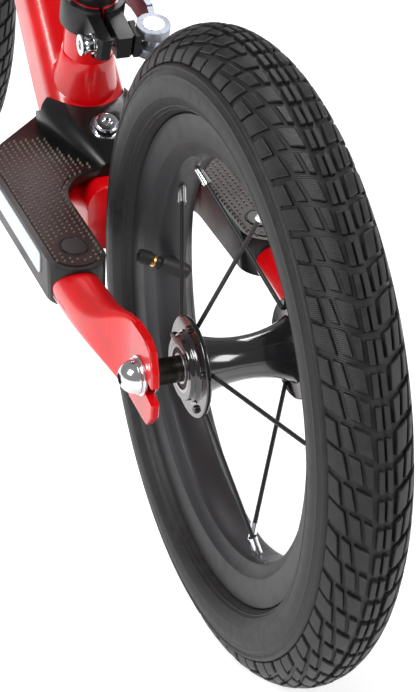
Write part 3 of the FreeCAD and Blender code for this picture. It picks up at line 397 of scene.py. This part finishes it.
# %% [markdown]
# ## Rubber
#
# A tyre is one rubber with two skins. The tops of the tread blocks carry fine ribs from the
# mould, slanted the same way on each side, and the side wall is smoother, with a faint radial
# grain. Dust stays in the pores and makes the black a dark grey.

# %% Tyre rubber


WALL_RADIUS = (118, 121)
TREAD_RADIUS = (129.5, 131)
TREAD_RIBS = 1080
TREAD_RIB_PITCH = 1.5
WALL_GRAINS = 900


def tyre_rubber(end, centre):
    rubber = Finish(f"{end}_tyre_rubber", (0.014, 0.014, 0.015), specular_ior_level=0.34)
    spot = rubber.place(centre)
    along, lateral, up = rubber.axes(spot)
    radius = rubber.radius(spot)
    angle = up.sum_with("ARCTAN2", along)
    side = lateral.sum_with("ABSOLUTE")
    tread = radius.above(*(edge * MM for edge in TREAD_RADIUS))
    wall = 1 - radius.above(*(edge * MM for edge in WALL_RADIUS))
    slant = side * (2 * math.pi / (TREAD_RIB_PITCH * MM))
    ribs = (angle * TREAD_RIBS + slant).sum_with("SINE")
    grain = (angle * WALL_GRAINS).sum_with("SINE") * wall
    dust = rubber.noise(5, detail=4).above(0.42, 0.72)
    pores = rubber.noise(0.45, detail=3)
    rubber.set("Base Color", rubber.mix(dust, (0.010, 0.010, 0.0105), (0.018, 0.018, 0.0185)))
    rubber.set("Roughness", 0.5 + dust * 0.1 - tread * 0.04)
    rubber.bump(ribs * tread * 0.5 + grain * (1 - tread) * 0.12 + pores * 0.6, 0.09)
    return rubber.material


def plain_rubber(name, colour, roughness, grain):
    rubber = Finish(name, colour, specular_ior_level=0.4)
    pores = rubber.noise(grain, detail=4)
    dust = rubber.noise(7, detail=3).above(0.45, 0.75)
    rubber.set("Base Color", rubber.mix(dust, colour, tuple(v * 1.5 for v in colour)))
    rubber.set("Roughness", roughness + dust * 0.1)
    rubber.bump(pores, 0.05)
    return rubber.material


tyre_skin = {end: tyre_rubber(end, centre) for end, centre in WHEEL_CENTRES.items()}
soft_rubber = plain_rubber("soft_black_rubber", (0.011, 0.011, 0.0115), 0.5, 0.6)

# %% [markdown]
# ## Saddle cover
#
# The saddle is covered with coated cloth pressed with a leather grain: small raised cells with
# creases between them. Voronoi distance to the cell edge draws exactly that, and noise bends the
# cells so that they don't look like a net.

# %% Grained cover


def grained_cover():
    cover = Finish("grained_saddle_cover", (0.02, 0.02, 0.021), specular_ior_level=0.45,
                   sheen_weight=0.1)
    spot = cover.place()
    bend = cover.node("ShaderNodeTexNoise", None, {"Vector": spot, "Scale": 260.0}, "Color")
    bent = cover.node("ShaderNodeVectorMath", {"operation": "SCALE"}, {0: bend, "Scale": 0.0012})
    bent = cover.node("ShaderNodeVectorMath", {"operation": "ADD"}, {0: spot, 1: bent})
    cells = cover.node("ShaderNodeTexVoronoi", {"feature": "DISTANCE_TO_EDGE"},
                       {"Vector": bent, "Scale": 620.0})
    crease_relief_and_shade = cells.above(0.0, 0.16)
    worn = cover.noise(30, detail=3).above(0.45, 0.75)
    # The creases are painted darker than the raised cells, as painted shade. The same mask also sets
    # the real relief and roughness.
    cover.set("Base Color", cover.mix(crease_relief_and_shade, (0.012, 0.012, 0.013), (0.024, 0.024, 0.025)))
    cover.set("Roughness", 0.52 - worn * 0.1 + (1 - crease_relief_and_shade) * 0.1)
    cover.bump(crease_relief_and_shade + cover.noise(0.5) * 0.3, 0.14)
    return cover.material


saddle_cover = grained_cover()
print(len(bpy.data.materials), "finishes")

# %% [markdown]
# ## Finishes on the engineering pieces
#
# The engineering model already has the true shape of every tube, bolt and bearing. It only needs
# a finish, and a small rounding of its edges, because no real edge is perfectly sharp and a
# rounded one catches a thin line of light. A weld joins the loose triangles first; a bevel then
# rounds only the edges that turn more than a set angle.

# %% Give each engineering piece its finish


def dress(node, material, rounding=0.0, turn=35):
    """Finish a piece of the engineering model, and round its edges if asked."""
    piece = nodes[node]
    if not piece.material_slots:
        piece.data.materials.append(material)
    for place in piece.material_slots:
        place.material = material
    if rounding:
        weld = piece.modifiers.new("weld", "WELD")
        weld.merge_threshold = 0.00002
        edge = piece.modifiers.new("round", "BEVEL")
        edge.width = rounding * MM
        edge.segments = 2
        edge.limit_method = "ANGLE"
        edge.angle_limit = math.radians(turn)
        edge.use_clamp_overlap = True
        edge.harden_normals = True


for node in ("main_tube", "chain_stay_left", "chain_stay_right", "fork_crown", "fork_blade_left",
             "fork_blade_right"):
    dress(node, red_paint, rounding=0.5)
for node in ("seat_tube", "head_tube"):
    dress(node, red_paint)
for node in ("steerer_tube", "seat_post", "handlebar", "handlebar_post"):
    dress(node, black_paint)
dress("footrest_shell", gloss_plastic, rounding=0.7)
for side in ("left", "right"):
    dress(f"footrest_grip_{side}", tread_plastic, rounding=0.3)
for node in ("seat_post_plug", "saddle_base"):
    dress(node, matte_plastic, rounding=0.6)
for node in ("footrest_bolt", "saddle_clamp_bolt"):
    dress(node, bright_steel, rounding=0.25)
for node in ("headset_cups", "crown_race", "headset_lock_ring"):
    dress(node, black_anodised)
for node in ("saddle_rails", "saddle_clamp_lower", "saddle_clamp_upper"):
    dress(node, rail_steel, rounding=0.4)
for clamp in ("seat", "bar"):
    dress(f"{clamp}_clamp_collar", black_anodised, rounding=0.5)
    dress(f"{clamp}_clamp_saddle", matte_plastic, rounding=0.3)
    dress(f"{clamp}_clamp_lever", satin_alloy, rounding=0.5)
    dress(f"{clamp}_clamp_bolt", bright_steel, rounding=0.25)
for end in ("rear", "front"):
    dress(f"{end}_inner_tube", soft_rubber)
    dress(f"{end}_rim", rim_grey, rounding=0.25)
    dress(f"{end}_hub", hub_black[end], rounding=0.2)
    dress(f"{end}_bearings", bearing_steel[end], rounding=0.15)
    dress(f"{end}_spokes", black_wire)
    dress(f"{end}_nipples", bright_steel)
    dress(f"{end}_valve", soft_rubber)
    dress(f"{end}_axle", dark_bronze)
    dress(f"{end}_axle_spacers", dark_bronze)
    dress(f"{end}_axle_washers", bright_steel, rounding=0.15)
    dress(f"{end}_axle_bolts", bright_steel, rounding=0.25)

# %% [markdown]
# ## Small tools for modelling
#
# Operators act on whatever is selected, so every piece starts with nothing selected. Faces and
# edges are chosen in code by where they are. At the end the piece's place is baked into its mesh,
# so that its own origin stays at the origin of the bike.

# %% Modelling tools


def nothing_selected():
    if bpy.context.mode != "OBJECT":
        bpy.ops.object.mode_set(mode="OBJECT")
    bpy.ops.object.select_all(action="DESELECT")


def only(piece):
    nothing_selected()
    piece.select_set(True)
    bpy.context.view_layer.objects.active = piece


def move_points(piece, rule):
    """Move each point of a mesh to where a rule puts it."""
    for point in piece.data.vertices:
        point.co = rule(point.index, point.co)
    piece.data.update()


def choose(piece, kind, test):
    """In edit mode, select only the edges or the points that pass a test."""
    bpy.ops.mesh.select_mode(type=kind)
    bpy.ops.mesh.select_all(action="DESELECT")
    mesh = bmesh.from_edit_mesh(piece.data)
    for item in mesh.edges if kind == "EDGE" else mesh.verts:
        if test(item):
            item.select_set(True)
    bmesh.update_edit_mesh(piece.data)


def apply_all(piece):
    only(piece)
    for modifier in list(piece.modifiers):
        bpy.ops.object.modifier_apply(modifier=modifier.name)


def finished(piece, name, body, material, smooth=35):
    """Bake the place into the mesh, name, finish and attach a piece.

    Edges that turn less than smooth degrees are shaded round.
    """
    only(piece)
    bpy.ops.object.transform_apply(location=True, rotation=True, scale=True)
    piece.name = piece.data.name = name
    piece.data.materials.clear()
    piece.data.materials.append(material)
    bpy.ops.object.shade_smooth_by_angle(angle=math.radians(smooth))
    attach(piece, body)
    nothing_selected()


def joined_pieces(pieces):
    nothing_selected()
    for piece in pieces:
        piece.select_set(True)
    bpy.context.view_layer.objects.active = pieces[0]
    bpy.ops.object.join()
    return bpy.context.object


def spun(name, section, steps):
    """Ring turned about Y from a closed section of (lateral, radius) points in millimetres."""
    nothing_selected()
    bpy.ops.mesh.primitive_circle_add(vertices=len(section), radius=0.01)
    piece = bpy.context.object
    piece.name = name
    move_points(piece, lambda index, _: Vector((0, section[index][0], section[index][1])) * MM)
    bpy.ops.object.mode_set(mode="EDIT")
    bpy.ops.mesh.select_all(action="SELECT")
    bpy.ops.mesh.spin(steps=steps, angle=2 * math.pi, center=(0, 0, 0), axis=(0, 1, 0))
    bpy.ops.mesh.select_all(action="SELECT")
    bpy.ops.mesh.remove_doubles(threshold=0.000004)
    bpy.ops.mesh.normals_make_consistent(inside=False)
    bpy.ops.object.mode_set(mode="OBJECT")
    return piece


# %% [markdown]
# ## Tyre: the casing
#
# A tyre is a ring with one cross-section all the way round, so its section is drawn once and
# spun about the axle. The section holds what the hand feels on a real side wall: a ledge under
# the tread, thin raised lines, and the bead that sits in the rim. Its crown is the floor of the
# tread grooves, so it lies lower than the blocks that come next.

# %% Tyre casing
CROWN_RADIUS = 146.0
TREAD_CURVE = 18.43
TREAD_HEART = CROWN_RADIUS - TREAD_CURVE


def on_tread(around, across, depth=0.0):
    """Point on the tread: degrees round the wheel, degrees across it, depth in millimetres."""
    lateral = (TREAD_CURVE - depth) * math.sin(math.radians(across))
    radius = TREAD_HEART + (TREAD_CURVE - depth) * math.cos(math.radians(across))
    turn = math.radians(around)
    return Vector((radius * math.cos(turn), lateral, radius * math.sin(turn))) * MM


GROOVE_DEPTH = 2.1
side_wall = [
    (17.5, 131.0), (18.5, 130.6), (19.2, 130.0), (19.45, 129.4), (19.3, 128.8), (19.0, 128.4),
    (19.35, 127.7), (20.0, 126.3), (20.3, 125.9), (20.25, 125.4), (20.55, 124.2), (20.95, 122.0),
    (20.85, 119.6), (20.35, 117.0), (20.5, 116.6), (20.3, 116.2), (19.2, 114.3), (17.7, 112.7),
    (17.75, 112.2), (17.3, 111.9), (16.2, 111.3), (16.1, 110.9), (15.5, 110.7), (14.1, 110.0),
    (12.8, 109.4), (10.4, 109.2), (10.4, 102.4), (8.0, 102.4), (8.2, 109.6), (13.4, 112.6),
    (16.8, 117.0), (17.6, 121.5), (16.9, 126.0), (14.2, 131.6), (8.0, 137.2),
]
crown = []
for across in range(0, 79, 6):
    turn = math.radians(across)
    reach = TREAD_CURVE - GROOVE_DEPTH + 0.9 * across / 78
    crown.append((reach * math.sin(turn), TREAD_HEART + reach * math.cos(turn)))
half_section = crown + side_wall
section = half_section + [(0, 139.6)] + [(-y, r) for y, r in reversed(half_section[1:])]
casing = spun("casing", section, 144)
print("casing faces:", len(casing.data.polygons))

# %% [markdown]
# ## Tyre: the tread
#
# The tread repeats every ten degrees: two slanted rows of blocks on each side of a middle row of
# twin ribs. In one row the inner block is wide and the shoulder block is narrow; in the next row
# it is the other way round. One repeat is made of small grids, each laid on the curved crown,
# extruded outwards and bevelled, then mirrored to the other side and spun in 36 copies.

# %% One tread block
ROW_SLANT = 0.066
REPEATS = 36
BLOCK_GRID = 3


def row_edge(start, across):
    """Where a row starts, in degrees round the wheel: the rows lean back towards the shoulder."""
    return start - ROW_SLANT * (across - 16)


def tread_block(start, length, inner, outer, straight=False):
    """A block between two lines across the tread.

    inner and outer are each (degrees across at the start, degrees across at the end).
    """
    nothing_selected()
    bpy.ops.mesh.primitive_grid_add(x_subdivisions=BLOCK_GRID, y_subdivisions=BLOCK_GRID, size=1)
    block = bpy.context.object

    def laid(spot, depth, inset):
        forward = min(max(spot.x + 0.5, 0), 1)
        sideways = min(max(spot.y + 0.5, 0), 1)
        forward = inset + forward * (1 - 2 * inset)
        sideways = inset + sideways * (1 - 2 * inset)
        near = inner[0] + (inner[1] - inner[0]) * forward
        far = outer[0] + (outer[1] - outer[0]) * forward
        across = near + (far - near) * sideways
        around = (start if straight else row_edge(start, across)) + length * forward
        return on_tread(around, across, depth)

    bpy.ops.object.mode_set(mode="EDIT")
    bpy.ops.mesh.select_all(action="SELECT")
    bpy.ops.mesh.extrude_region_move(TRANSFORM_OT_translate={"value": (0, 0, 1)})
    bpy.ops.object.mode_set(mode="OBJECT")
    move_points(block, lambda _, spot: laid(spot, 0.0, 0.03) if spot.z > 0.5
                else laid(spot, GROOVE_DEPTH + 0.5, 0.0))
    bpy.ops.object.mode_set(mode="EDIT")
    bpy.ops.mesh.select_all(action="SELECT")
    bpy.ops.mesh.normals_make_consistent(inside=False)
    bpy.ops.object.mode_set(mode="OBJECT")
    return block


half_repeat = [
    # start, length, (inner edge), (outer edge)
    (0.0, 3.95, (17.5, 15.2), (39.0, 33.0)),
    (0.35, 3.95, (43.0, 37.5), (56.0, 50.5)),
    (0.75, 4.2, (60.5, 57.0), (78.5, 78.5)),
    (5.0, 3.95, (15.5, 15.8), (27.5, 23.4)),
    (5.0, 3.95, (32.0, 28.0), (47.5, 41.0)),
    (5.35, 4.2, (52.5, 46.5), (78.5, 78.5)),
]
blocks = [tread_block(*shape) for shape in half_repeat]
for start in (0.75, 5.75):
    blocks.append(tread_block(start, 3.95, (1.6, 1.6), (9.6, 9.6), straight=True))
repeat = joined_pieces(blocks)
edge = repeat.modifiers.new("edge", "BEVEL")
edge.width = 0.32 * MM
edge.segments = 1
edge.limit_method = "ANGLE"
edge.angle_limit = math.radians(50)
mirror = repeat.modifiers.new("other side", "MIRROR")
mirror.use_axis = (False, True, False)
mirror.use_mirror_merge = False
apply_all(repeat)
print("one repeat:", len(repeat.data.polygons), "faces")

# %% The whole tyre, for both wheels
only(repeat)
bpy.ops.object.mode_set(mode="EDIT")
bpy.ops.mesh.select_all(action="SELECT")
bpy.ops.mesh.spin(steps=REPEATS, dupli=True, angle=2 * math.pi, center=(0, 0, 0), axis=(0, 1, 0))
bpy.ops.object.mode_set(mode="OBJECT")
tyre = joined_pieces([casing, repeat])
print("tyre faces:", len(tyre.data.polygons))
tyres = {"rear": tyre}
only(tyre)
bpy.ops.object.duplicate(linked=False)
tyres["front"] = bpy.context.object
for end, piece in tyres.items():
    piece.location = WHEEL_CENTRES[end]
    finished(piece, f"{end}_road_tyre", f"{end}_wheel", tyre_skin[end], smooth=30)
    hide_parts(f"{end}_tyre")

# %% [markdown]
# ## Footrest: the dots
#
# The top of the footrest carries rows of small domes that stop a shoe from sliding. One dome is
# modelled, repeated in two directions, and doubled with half a step between, as in a honeycomb.
# A dome stays only where rays from above meet the flat top all round it, so the rows end neatly
# at the edge and at the hood. The oval badge is kept clear too.

# %% Dots on the footrest
DOT_RADIUS = 0.7
DOT_HEIGHT = 1.1
DOT_STEP_X, DOT_STEP_Y = 3.5, 3.1
DOT_MARGIN = 2.0
DOT_START_X, DOT_START_Y = 82.0, 58.0
DOTS_ALONG, DOTS_ACROSS = 36, 9
TOP_TOLERANCE = 1.0
BADGE_CENTRE = (96.0, 46.5)
BADGE_SIZE = (8.5, 7.0)
plate_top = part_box("footrest_grip_left")[1][2]


def hits_top(x, y):
    """Whether a ray from above meets the flat top of the footrest and not the hood."""
    above = from_rear(x, y, 60)
    heights = [hit[1].z for hit in (nodes[node].ray_cast(above, (0, 0, -1))
                                    for node in ("footrest_shell", "footrest_grip_left")) if hit[0]]
    return bool(heights) and abs(max(heights) - plate_top) < TOP_TOLERANCE * MM


def dot_fits(x, y):
    """Whether a dot there keeps its margin to every edge and to the badge."""
    away = math.hypot((x - BADGE_CENTRE[0]) / (BADGE_SIZE[0] + 2.2),
                      (y - BADGE_CENTRE[1]) / (BADGE_SIZE[1] + 2.2))
    ring = [(x + DOT_MARGIN * math.cos(turn), y + DOT_MARGIN * math.sin(turn))
            for turn in (k * math.pi / 4 for k in range(8))]
    return away > 1 and all(hits_top(*spot) for spot in ring)


def dot_grid(start_x, start_y):
    """A grid of low domes that starts at a place and runs forwards and inwards."""
    nothing_selected()
    bpy.ops.mesh.primitive_cone_add(vertices=8, radius1=DOT_RADIUS * MM, depth=DOT_HEIGHT * MM,
                                    radius2=DOT_RADIUS * 0.6 * MM, end_fill_type="TRIFAN")
    dots = bpy.context.object
    dots.location = from_rear(start_x, start_y, 0)
    dots.location.z = plate_top + 0.05 * MM
    for name, count, step in (("along", DOTS_ALONG, (DOT_STEP_X, 0, 0)),
                              ("across", DOTS_ACROSS, (0, -2 * DOT_STEP_Y, 0))):
        row = dots.modifiers.new(name, "ARRAY")
        row.count = count
        row.use_relative_offset = False
        row.use_constant_offset = True
        row.constant_offset_displace = Vector(step) * MM
    apply_all(dots)
    bpy.ops.object.transform_apply(location=True)

    def on_misfit(point):
        """Whether a point belongs to a dot that doesn't fit."""
        place = (point.co - REAR_AXLE) / MM
        x = start_x + round((place.x - start_x) / DOT_STEP_X) * DOT_STEP_X
        y = start_y - round((start_y - place.y) / (2 * DOT_STEP_Y)) * 2 * DOT_STEP_Y
        return not dot_fits(x, y)

    bpy.ops.object.mode_set(mode="EDIT")
    choose(dots, "VERT", on_misfit)
    bpy.ops.mesh.delete(type="VERT")
    bpy.ops.object.mode_set(mode="OBJECT")
    return dots


def mirrored_pair(piece):
    """Add the same shape on the other side of the bike."""
    mirror = piece.modifiers.new("other side", "MIRROR")
    mirror.use_axis = (False, True, False)
    mirror.use_mirror_merge = False
    only(piece)
    bpy.ops.object.transform_apply(location=True, rotation=True, scale=True)
    apply_all(piece)


dots = joined_pieces([dot_grid(DOT_START_X, DOT_START_Y),
                      dot_grid(DOT_START_X + DOT_STEP_X / 2, DOT_START_Y - DOT_STEP_Y)])
mirrored_pair(dots)
finished(dots, "footrest_dots", "frame", dot_plastic, smooth=70)
print("dots:", len(dots.data.polygons), "faces")

# %% [markdown]
# ## Footrest: badges and side panels
#
# The ends of the footrest carry a small raised oval each, and both flanks a long panel with
# rounded corners. Both are blank.

# %% Oval badges
nothing_selected()
bpy.ops.mesh.primitive_cylinder_add(vertices=48, radius=1, depth=1)
badge = bpy.context.object
badge.scale = Vector((BADGE_SIZE[0] - 1.4, BADGE_SIZE[1] - 1.4, 0.5)) * MM
badge.location = from_rear(*BADGE_CENTRE, 0)
badge.location.z = plate_top + 0.1 * MM
nothing_selected()
bpy.ops.mesh.primitive_torus_add(major_segments=48, minor_segments=10, major_radius=1,
                                 minor_radius=0.09)
border = bpy.context.object
border.scale = Vector((BADGE_SIZE[0] - 0.7, BADGE_SIZE[1] - 0.7, 6.5)) * MM
border.location = badge.location
badges = joined_pieces([badge, border])
mirrored_pair(badges)
finished(badges, "footrest_badges", "frame", gloss_plastic, smooth=40)

# %% Side panels
PANEL_FRONT, PANEL_BACK = 176.0, 98.0
PANEL_TOP, PANEL_LOW = 9.0, -2.0
PANEL_CORNER = 2.4
PANEL_THICK = 0.7
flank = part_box("footrest_shell")[1][1]
nothing_selected()
bpy.ops.mesh.primitive_cube_add(size=1)
panels = bpy.context.object
panels.scale = Vector((PANEL_FRONT - PANEL_BACK, PANEL_THICK, PANEL_TOP - PANEL_LOW)) * MM
panels.location = from_rear((PANEL_FRONT + PANEL_BACK) / 2, 0, (PANEL_TOP + PANEL_LOW) / 2)
panels.location.y = flank + 0.25 * MM
bpy.ops.object.transform_apply(location=True, scale=True)
bpy.ops.object.mode_set(mode="EDIT")
choose(panels, "EDGE", lambda edge: abs(edge.verts[0].co.y - edge.verts[1].co.y) > 0.5 * MM)
bpy.ops.mesh.bevel(offset=PANEL_CORNER * MM, segments=6)
bpy.ops.object.mode_set(mode="OBJECT")
rim = panels.modifiers.new("rim", "BEVEL")
rim.width = 0.2 * MM
rim.segments = 2
rim.limit_method = "ANGLE"
rim.angle_limit = math.radians(50)
mirrored_pair(panels)
finished(panels, "footrest_side_panels", "frame", panel_plastic, smooth=40)

# %% [markdown]
# ## Valves
#
# The bent rubber valve ends in a threaded brass stem with a black cap. The threads are plain
# rings, because a pitch of under a millimetre is too fine for its slope to show.

# %% Threaded ends and caps
VALVE_KNEE = Vector((79.0, -2.2, -0.6))
VALVE_TIP = Vector((81.0, 13.5, 7.0))
valve_way = (VALVE_TIP - VALVE_KNEE).normalized()
THREAD_PITCH = 0.7
STEM_SINK = 1.2
stem_section = [(0.0, 1.2), (0.0, 3.2)]
for ring in range(6):
    crest = 0.6 + ring * THREAD_PITCH
    stem_section += [(crest, 2.9), (crest + THREAD_PITCH / 2, 2.5)]
stem_section += [(5.0, 2.5), (5.4, 2.2), (5.4, 1.2)]
cap_section = [(2.2, 2.6), (2.2, 3.6), (7.4, 3.4), (8.2, 2.9), (8.5, 1.2), (7.0, 1.0), (6.2, 2.6)]
for end, centre in WHEEL_CENTRES.items():
    for name, shape, material, slot, steps in (
            ("stem", stem_section, brass, "bright_steel", 32),
            ("cap", cap_section, matte_plastic, "black_plastic", 24)):
        part = spun(f"{end}_valve_{name}", shape, steps)
        part.rotation_euler = valve_way.to_track_quat("Y", "Z").to_euler()
        part.location = Vector((centre.x, 0, centre.z)) + (VALVE_TIP - valve_way * STEM_SINK) * MM
        finished(part, f"{end}_valve_{name}", f"{end}_wheel", material)

# %% [markdown]
# ## Handlebar grips
#
# A child's grip is a thick rubber sleeve with a broad flange at its outer end, which keeps the
# hand from hitting the ground, and a smaller one at its inner end. Rings along the barrel give
# hold. The sleeve is drawn as half a section along the bar and spun.

# %% Ribbed grips
GRIP_LENGTH = 86.0
GRIP_END = Vector((80.02, 186.0, 562.71))
GRIP_WAY = Vector((-0.1634, 0.9848, -0.0594))
RIB_PITCH = 4.4
grip_section = [(0.0, 11.2), (0.0, 18.6), (0.8, 19.7), (2.5, 20.0), (4.2, 19.7), (5.0, 18.4),
                (6.2, 15.4)]
rib_count = int((GRIP_LENGTH - 24) / RIB_PITCH)
for rib in range(rib_count):
    start = 9.0 + rib * RIB_PITCH
    grip_section += [(start, 13.9), (start + 0.9, 13.9), (start + 1.5, 15.2), (start + 2.4, 15.5),
                     (start + 3.3, 15.2)]
grip_section += [(GRIP_LENGTH - 4.0, 15.4), (GRIP_LENGTH - 2.6, 18.6), (GRIP_LENGTH - 1.4, 20.4),
                 (GRIP_LENGTH + 1.0, 21.0), (GRIP_LENGTH + 3.6, 20.2), (GRIP_LENGTH + 5.3, 17.0),
                 (GRIP_LENGTH + 6.0, 12.0), (GRIP_LENGTH + 6.0, 2.6), (GRIP_LENGTH + 5.0, 1.6),
                 (GRIP_LENGTH + 0.3, 1.6), (GRIP_LENGTH + 0.3, 11.2)]
for side, sign in (("left", 1), ("right", -1)):
    grip = spun(f"{side}_ribbed_grip", grip_section, 64)
    way = Vector((GRIP_WAY.x, sign * GRIP_WAY.y, GRIP_WAY.z))
    outer_end = Vector((GRIP_END.x, sign * GRIP_END.y, GRIP_END.z))
    grip.rotation_euler = way.to_track_quat("Y", "Z").to_euler()
    grip.location = (outer_end - way * GRIP_LENGTH) * MM
    finished(grip, f"{side}_ribbed_grip", "handlebar", soft_rubber, smooth=50)
    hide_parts(f"grip_{side}")

# %% [markdown]
# ## Saddle
#
# Seen from above the saddle is a pear: a round nose and a broad tail. Each ring of the cushion is
# that outline drawn in towards a spine, and the rings climb from the base, round the side and
# over the crown until they meet on the spine. Then the cushion is filled as a real one is: the
# cover is cloth, its lower edge and the seam round its top are held, and air pressure pushes the
# panels out between them.

# %% Saddle outline
saddle_low, saddle_high = (Vector(corner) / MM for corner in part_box("saddle_cushion"))
NOSE, TAIL = saddle_high.x, saddle_low.x
SADDLE_BASE, SADDLE_TOP = saddle_low.z, saddle_high.z
NOSE_HALF, TAIL_HALF = 21.0, 66.0
NOSE_ROUND, TAIL_ROUND = 26, 56
AROUND = 120


def half_width(x):
    """Half the saddle's width at a place along it, in millimetres."""
    into_nose = min((NOSE - x) / NOSE_ROUND, 1)
    into_tail = min((x - TAIL) / TAIL_ROUND, 1)
    straight = NOSE - NOSE_ROUND - TAIL - TAIL_ROUND
    spread = min(max((NOSE - NOSE_ROUND - x) / straight, 0), 1)
    width = NOSE_HALF + (TAIL_HALF - NOSE_HALF) * spread ** 2 * (3 - 2 * spread)
    round_nose = math.sqrt(max(1 - (1 - into_nose) ** 2, 0))
    round_tail = math.sqrt(max(1 - (1 - into_tail) ** 2.4, 0))
    return width * round_nose * round_tail


def outline_point(share):
    """Point of the saddle's outline, share going from 0 at the nose round to 1."""
    turn = 2 * math.pi * share
    x = (NOSE + TAIL) / 2 + (NOSE - TAIL) / 2 * math.cos(turn)
    return x, math.copysign(half_width(x), math.sin(turn))


# how far out (1 is the full outline) and how high (0 base, 1 top) each ring lies
rings = [
    (0.0, 0.0), (0.45, 0.0), (0.85, 0.0), (0.955, 0.01), (0.985, 0.06), (0.995, 0.16), (1.0, 0.3),
    (0.995, 0.42), (0.98, 0.54), (0.955, 0.64), (0.92, 0.73), (0.87, 0.8), (0.8, 0.86),
    (0.7, 0.9), (0.58, 0.935), (0.45, 0.955), (0.3, 0.97), (0.15, 0.975), (0.0, 0.975),
]
SEAM_RING = 9


def ring_point(share, out, up):
    """Point of a ring; the crown dips a little where the rider sits."""
    x, y = outline_point(share)
    spine = min(max(x, TAIL + 60), NOSE - 24)
    dip = 0.12 * math.exp(-((x - TAIL - 55) / 60) ** 2) * max(up - 0.7, 0) / 0.3
    height = SADDLE_BASE + (SADDLE_TOP - SADDLE_BASE) * (up - dip * (1 - out) ** 0.5)
    return Vector((spine + (x - spine) * out, y * out, height)) * MM


# %% Cushion, filled by cloth simulation
CLOTH_FRAMES = 20
HELD_EDGE = 2.5
PUFF = 2.2
nothing_selected()
bpy.ops.mesh.primitive_grid_add(x_subdivisions=AROUND, y_subdivisions=len(rings) - 1, size=1)
cushion = bpy.context.object


def on_cushion(_, spot):
    out, up = rings[round((spot.y + 0.5) * (len(rings) - 1))]
    return ring_point(spot.x + 0.5, out, up)


seam_line = [ring_point(step / AROUND, *rings[SEAM_RING]) for step in range(AROUND)]
move_points(cushion, on_cushion)
bpy.ops.object.mode_set(mode="EDIT")
bpy.ops.mesh.select_all(action="SELECT")
bpy.ops.mesh.remove_doubles(threshold=0.00002)
bpy.ops.mesh.normals_make_consistent(inside=False)
bpy.ops.object.mode_set(mode="OBJECT")

flat_shape = [point.co.copy() for point in cushion.data.vertices]
seam_height = seam_line[0].z
held = cushion.vertex_groups.new(name="held")
for point in cushion.data.vertices:
    low = point.co.z < (SADDLE_BASE + HELD_EDGE) * MM
    on_seam = abs(point.co.z - seam_height) < 0.2 * MM
    if low or on_seam:
        held.add([point.index], 1.0, "REPLACE")
only(cushion)
cover = cushion.modifiers.new("cover", "CLOTH")
cover.settings.use_pressure = True
cover.settings.uniform_pressure_force = 4
cover.settings.tension_stiffness = 40
cover.settings.compression_stiffness = 40
cover.settings.bending_stiffness = 2
cover.settings.effector_weights.gravity = 0
cover.settings.vertex_group_mass = "held"
cover.point_cache.frame_start = 1
cover.point_cache.frame_end = CLOTH_FRAMES
for number in range(1, CLOTH_FRAMES + 1):
    bpy.context.scene.frame_set(number)
bpy.ops.object.modifier_apply(modifier="cover")
bpy.context.scene.frame_set(1)


def capped(index, spot):
    """Where the cloth went, at most a little way from where it started."""
    moved = spot - flat_shape[index]
    reach = min(moved.length, PUFF * MM)
    return flat_shape[index] + (moved.normalized() * reach if moved.length else moved)


moves = [(point.co - flat_shape[point.index]).length / MM for point in cushion.data.vertices]
print(f"the cloth moved {max(moves):.2f} mm at most, {sum(moves) / len(moves):.2f} mm on average")
move_points(cushion, capped)
smoothing = cushion.modifiers.new("fine", "SUBSURF")
smoothing.levels = smoothing.render_levels = 1
apply_all(cushion)
finished(cushion, "saddle_padding", "seat", saddle_cover, smooth=60)
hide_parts("saddle_cushion")
print("cushion:", len(cushion.data.polygons), "faces")

# %% [markdown]
# ## Piping
#
# A thin round piping is sewn into the seam round the saddle. It is a closed curve with a round
# section that follows the same ring of the cushion.

# %% Piping round the saddle
nothing_selected()
bpy.ops.mesh.primitive_circle_add(vertices=AROUND, radius=1)
piping = bpy.context.object
move_points(piping, lambda index, _: seam_line[index])
bpy.ops.object.convert(target="CURVE")
piping = bpy.context.object
piping.data.bevel_depth = 1.3 * MM
piping.data.bevel_resolution = 3
bpy.ops.object.convert(target="MESH")
finished(piping, "saddle_piping", "seat", soft_rubber, smooth=60)
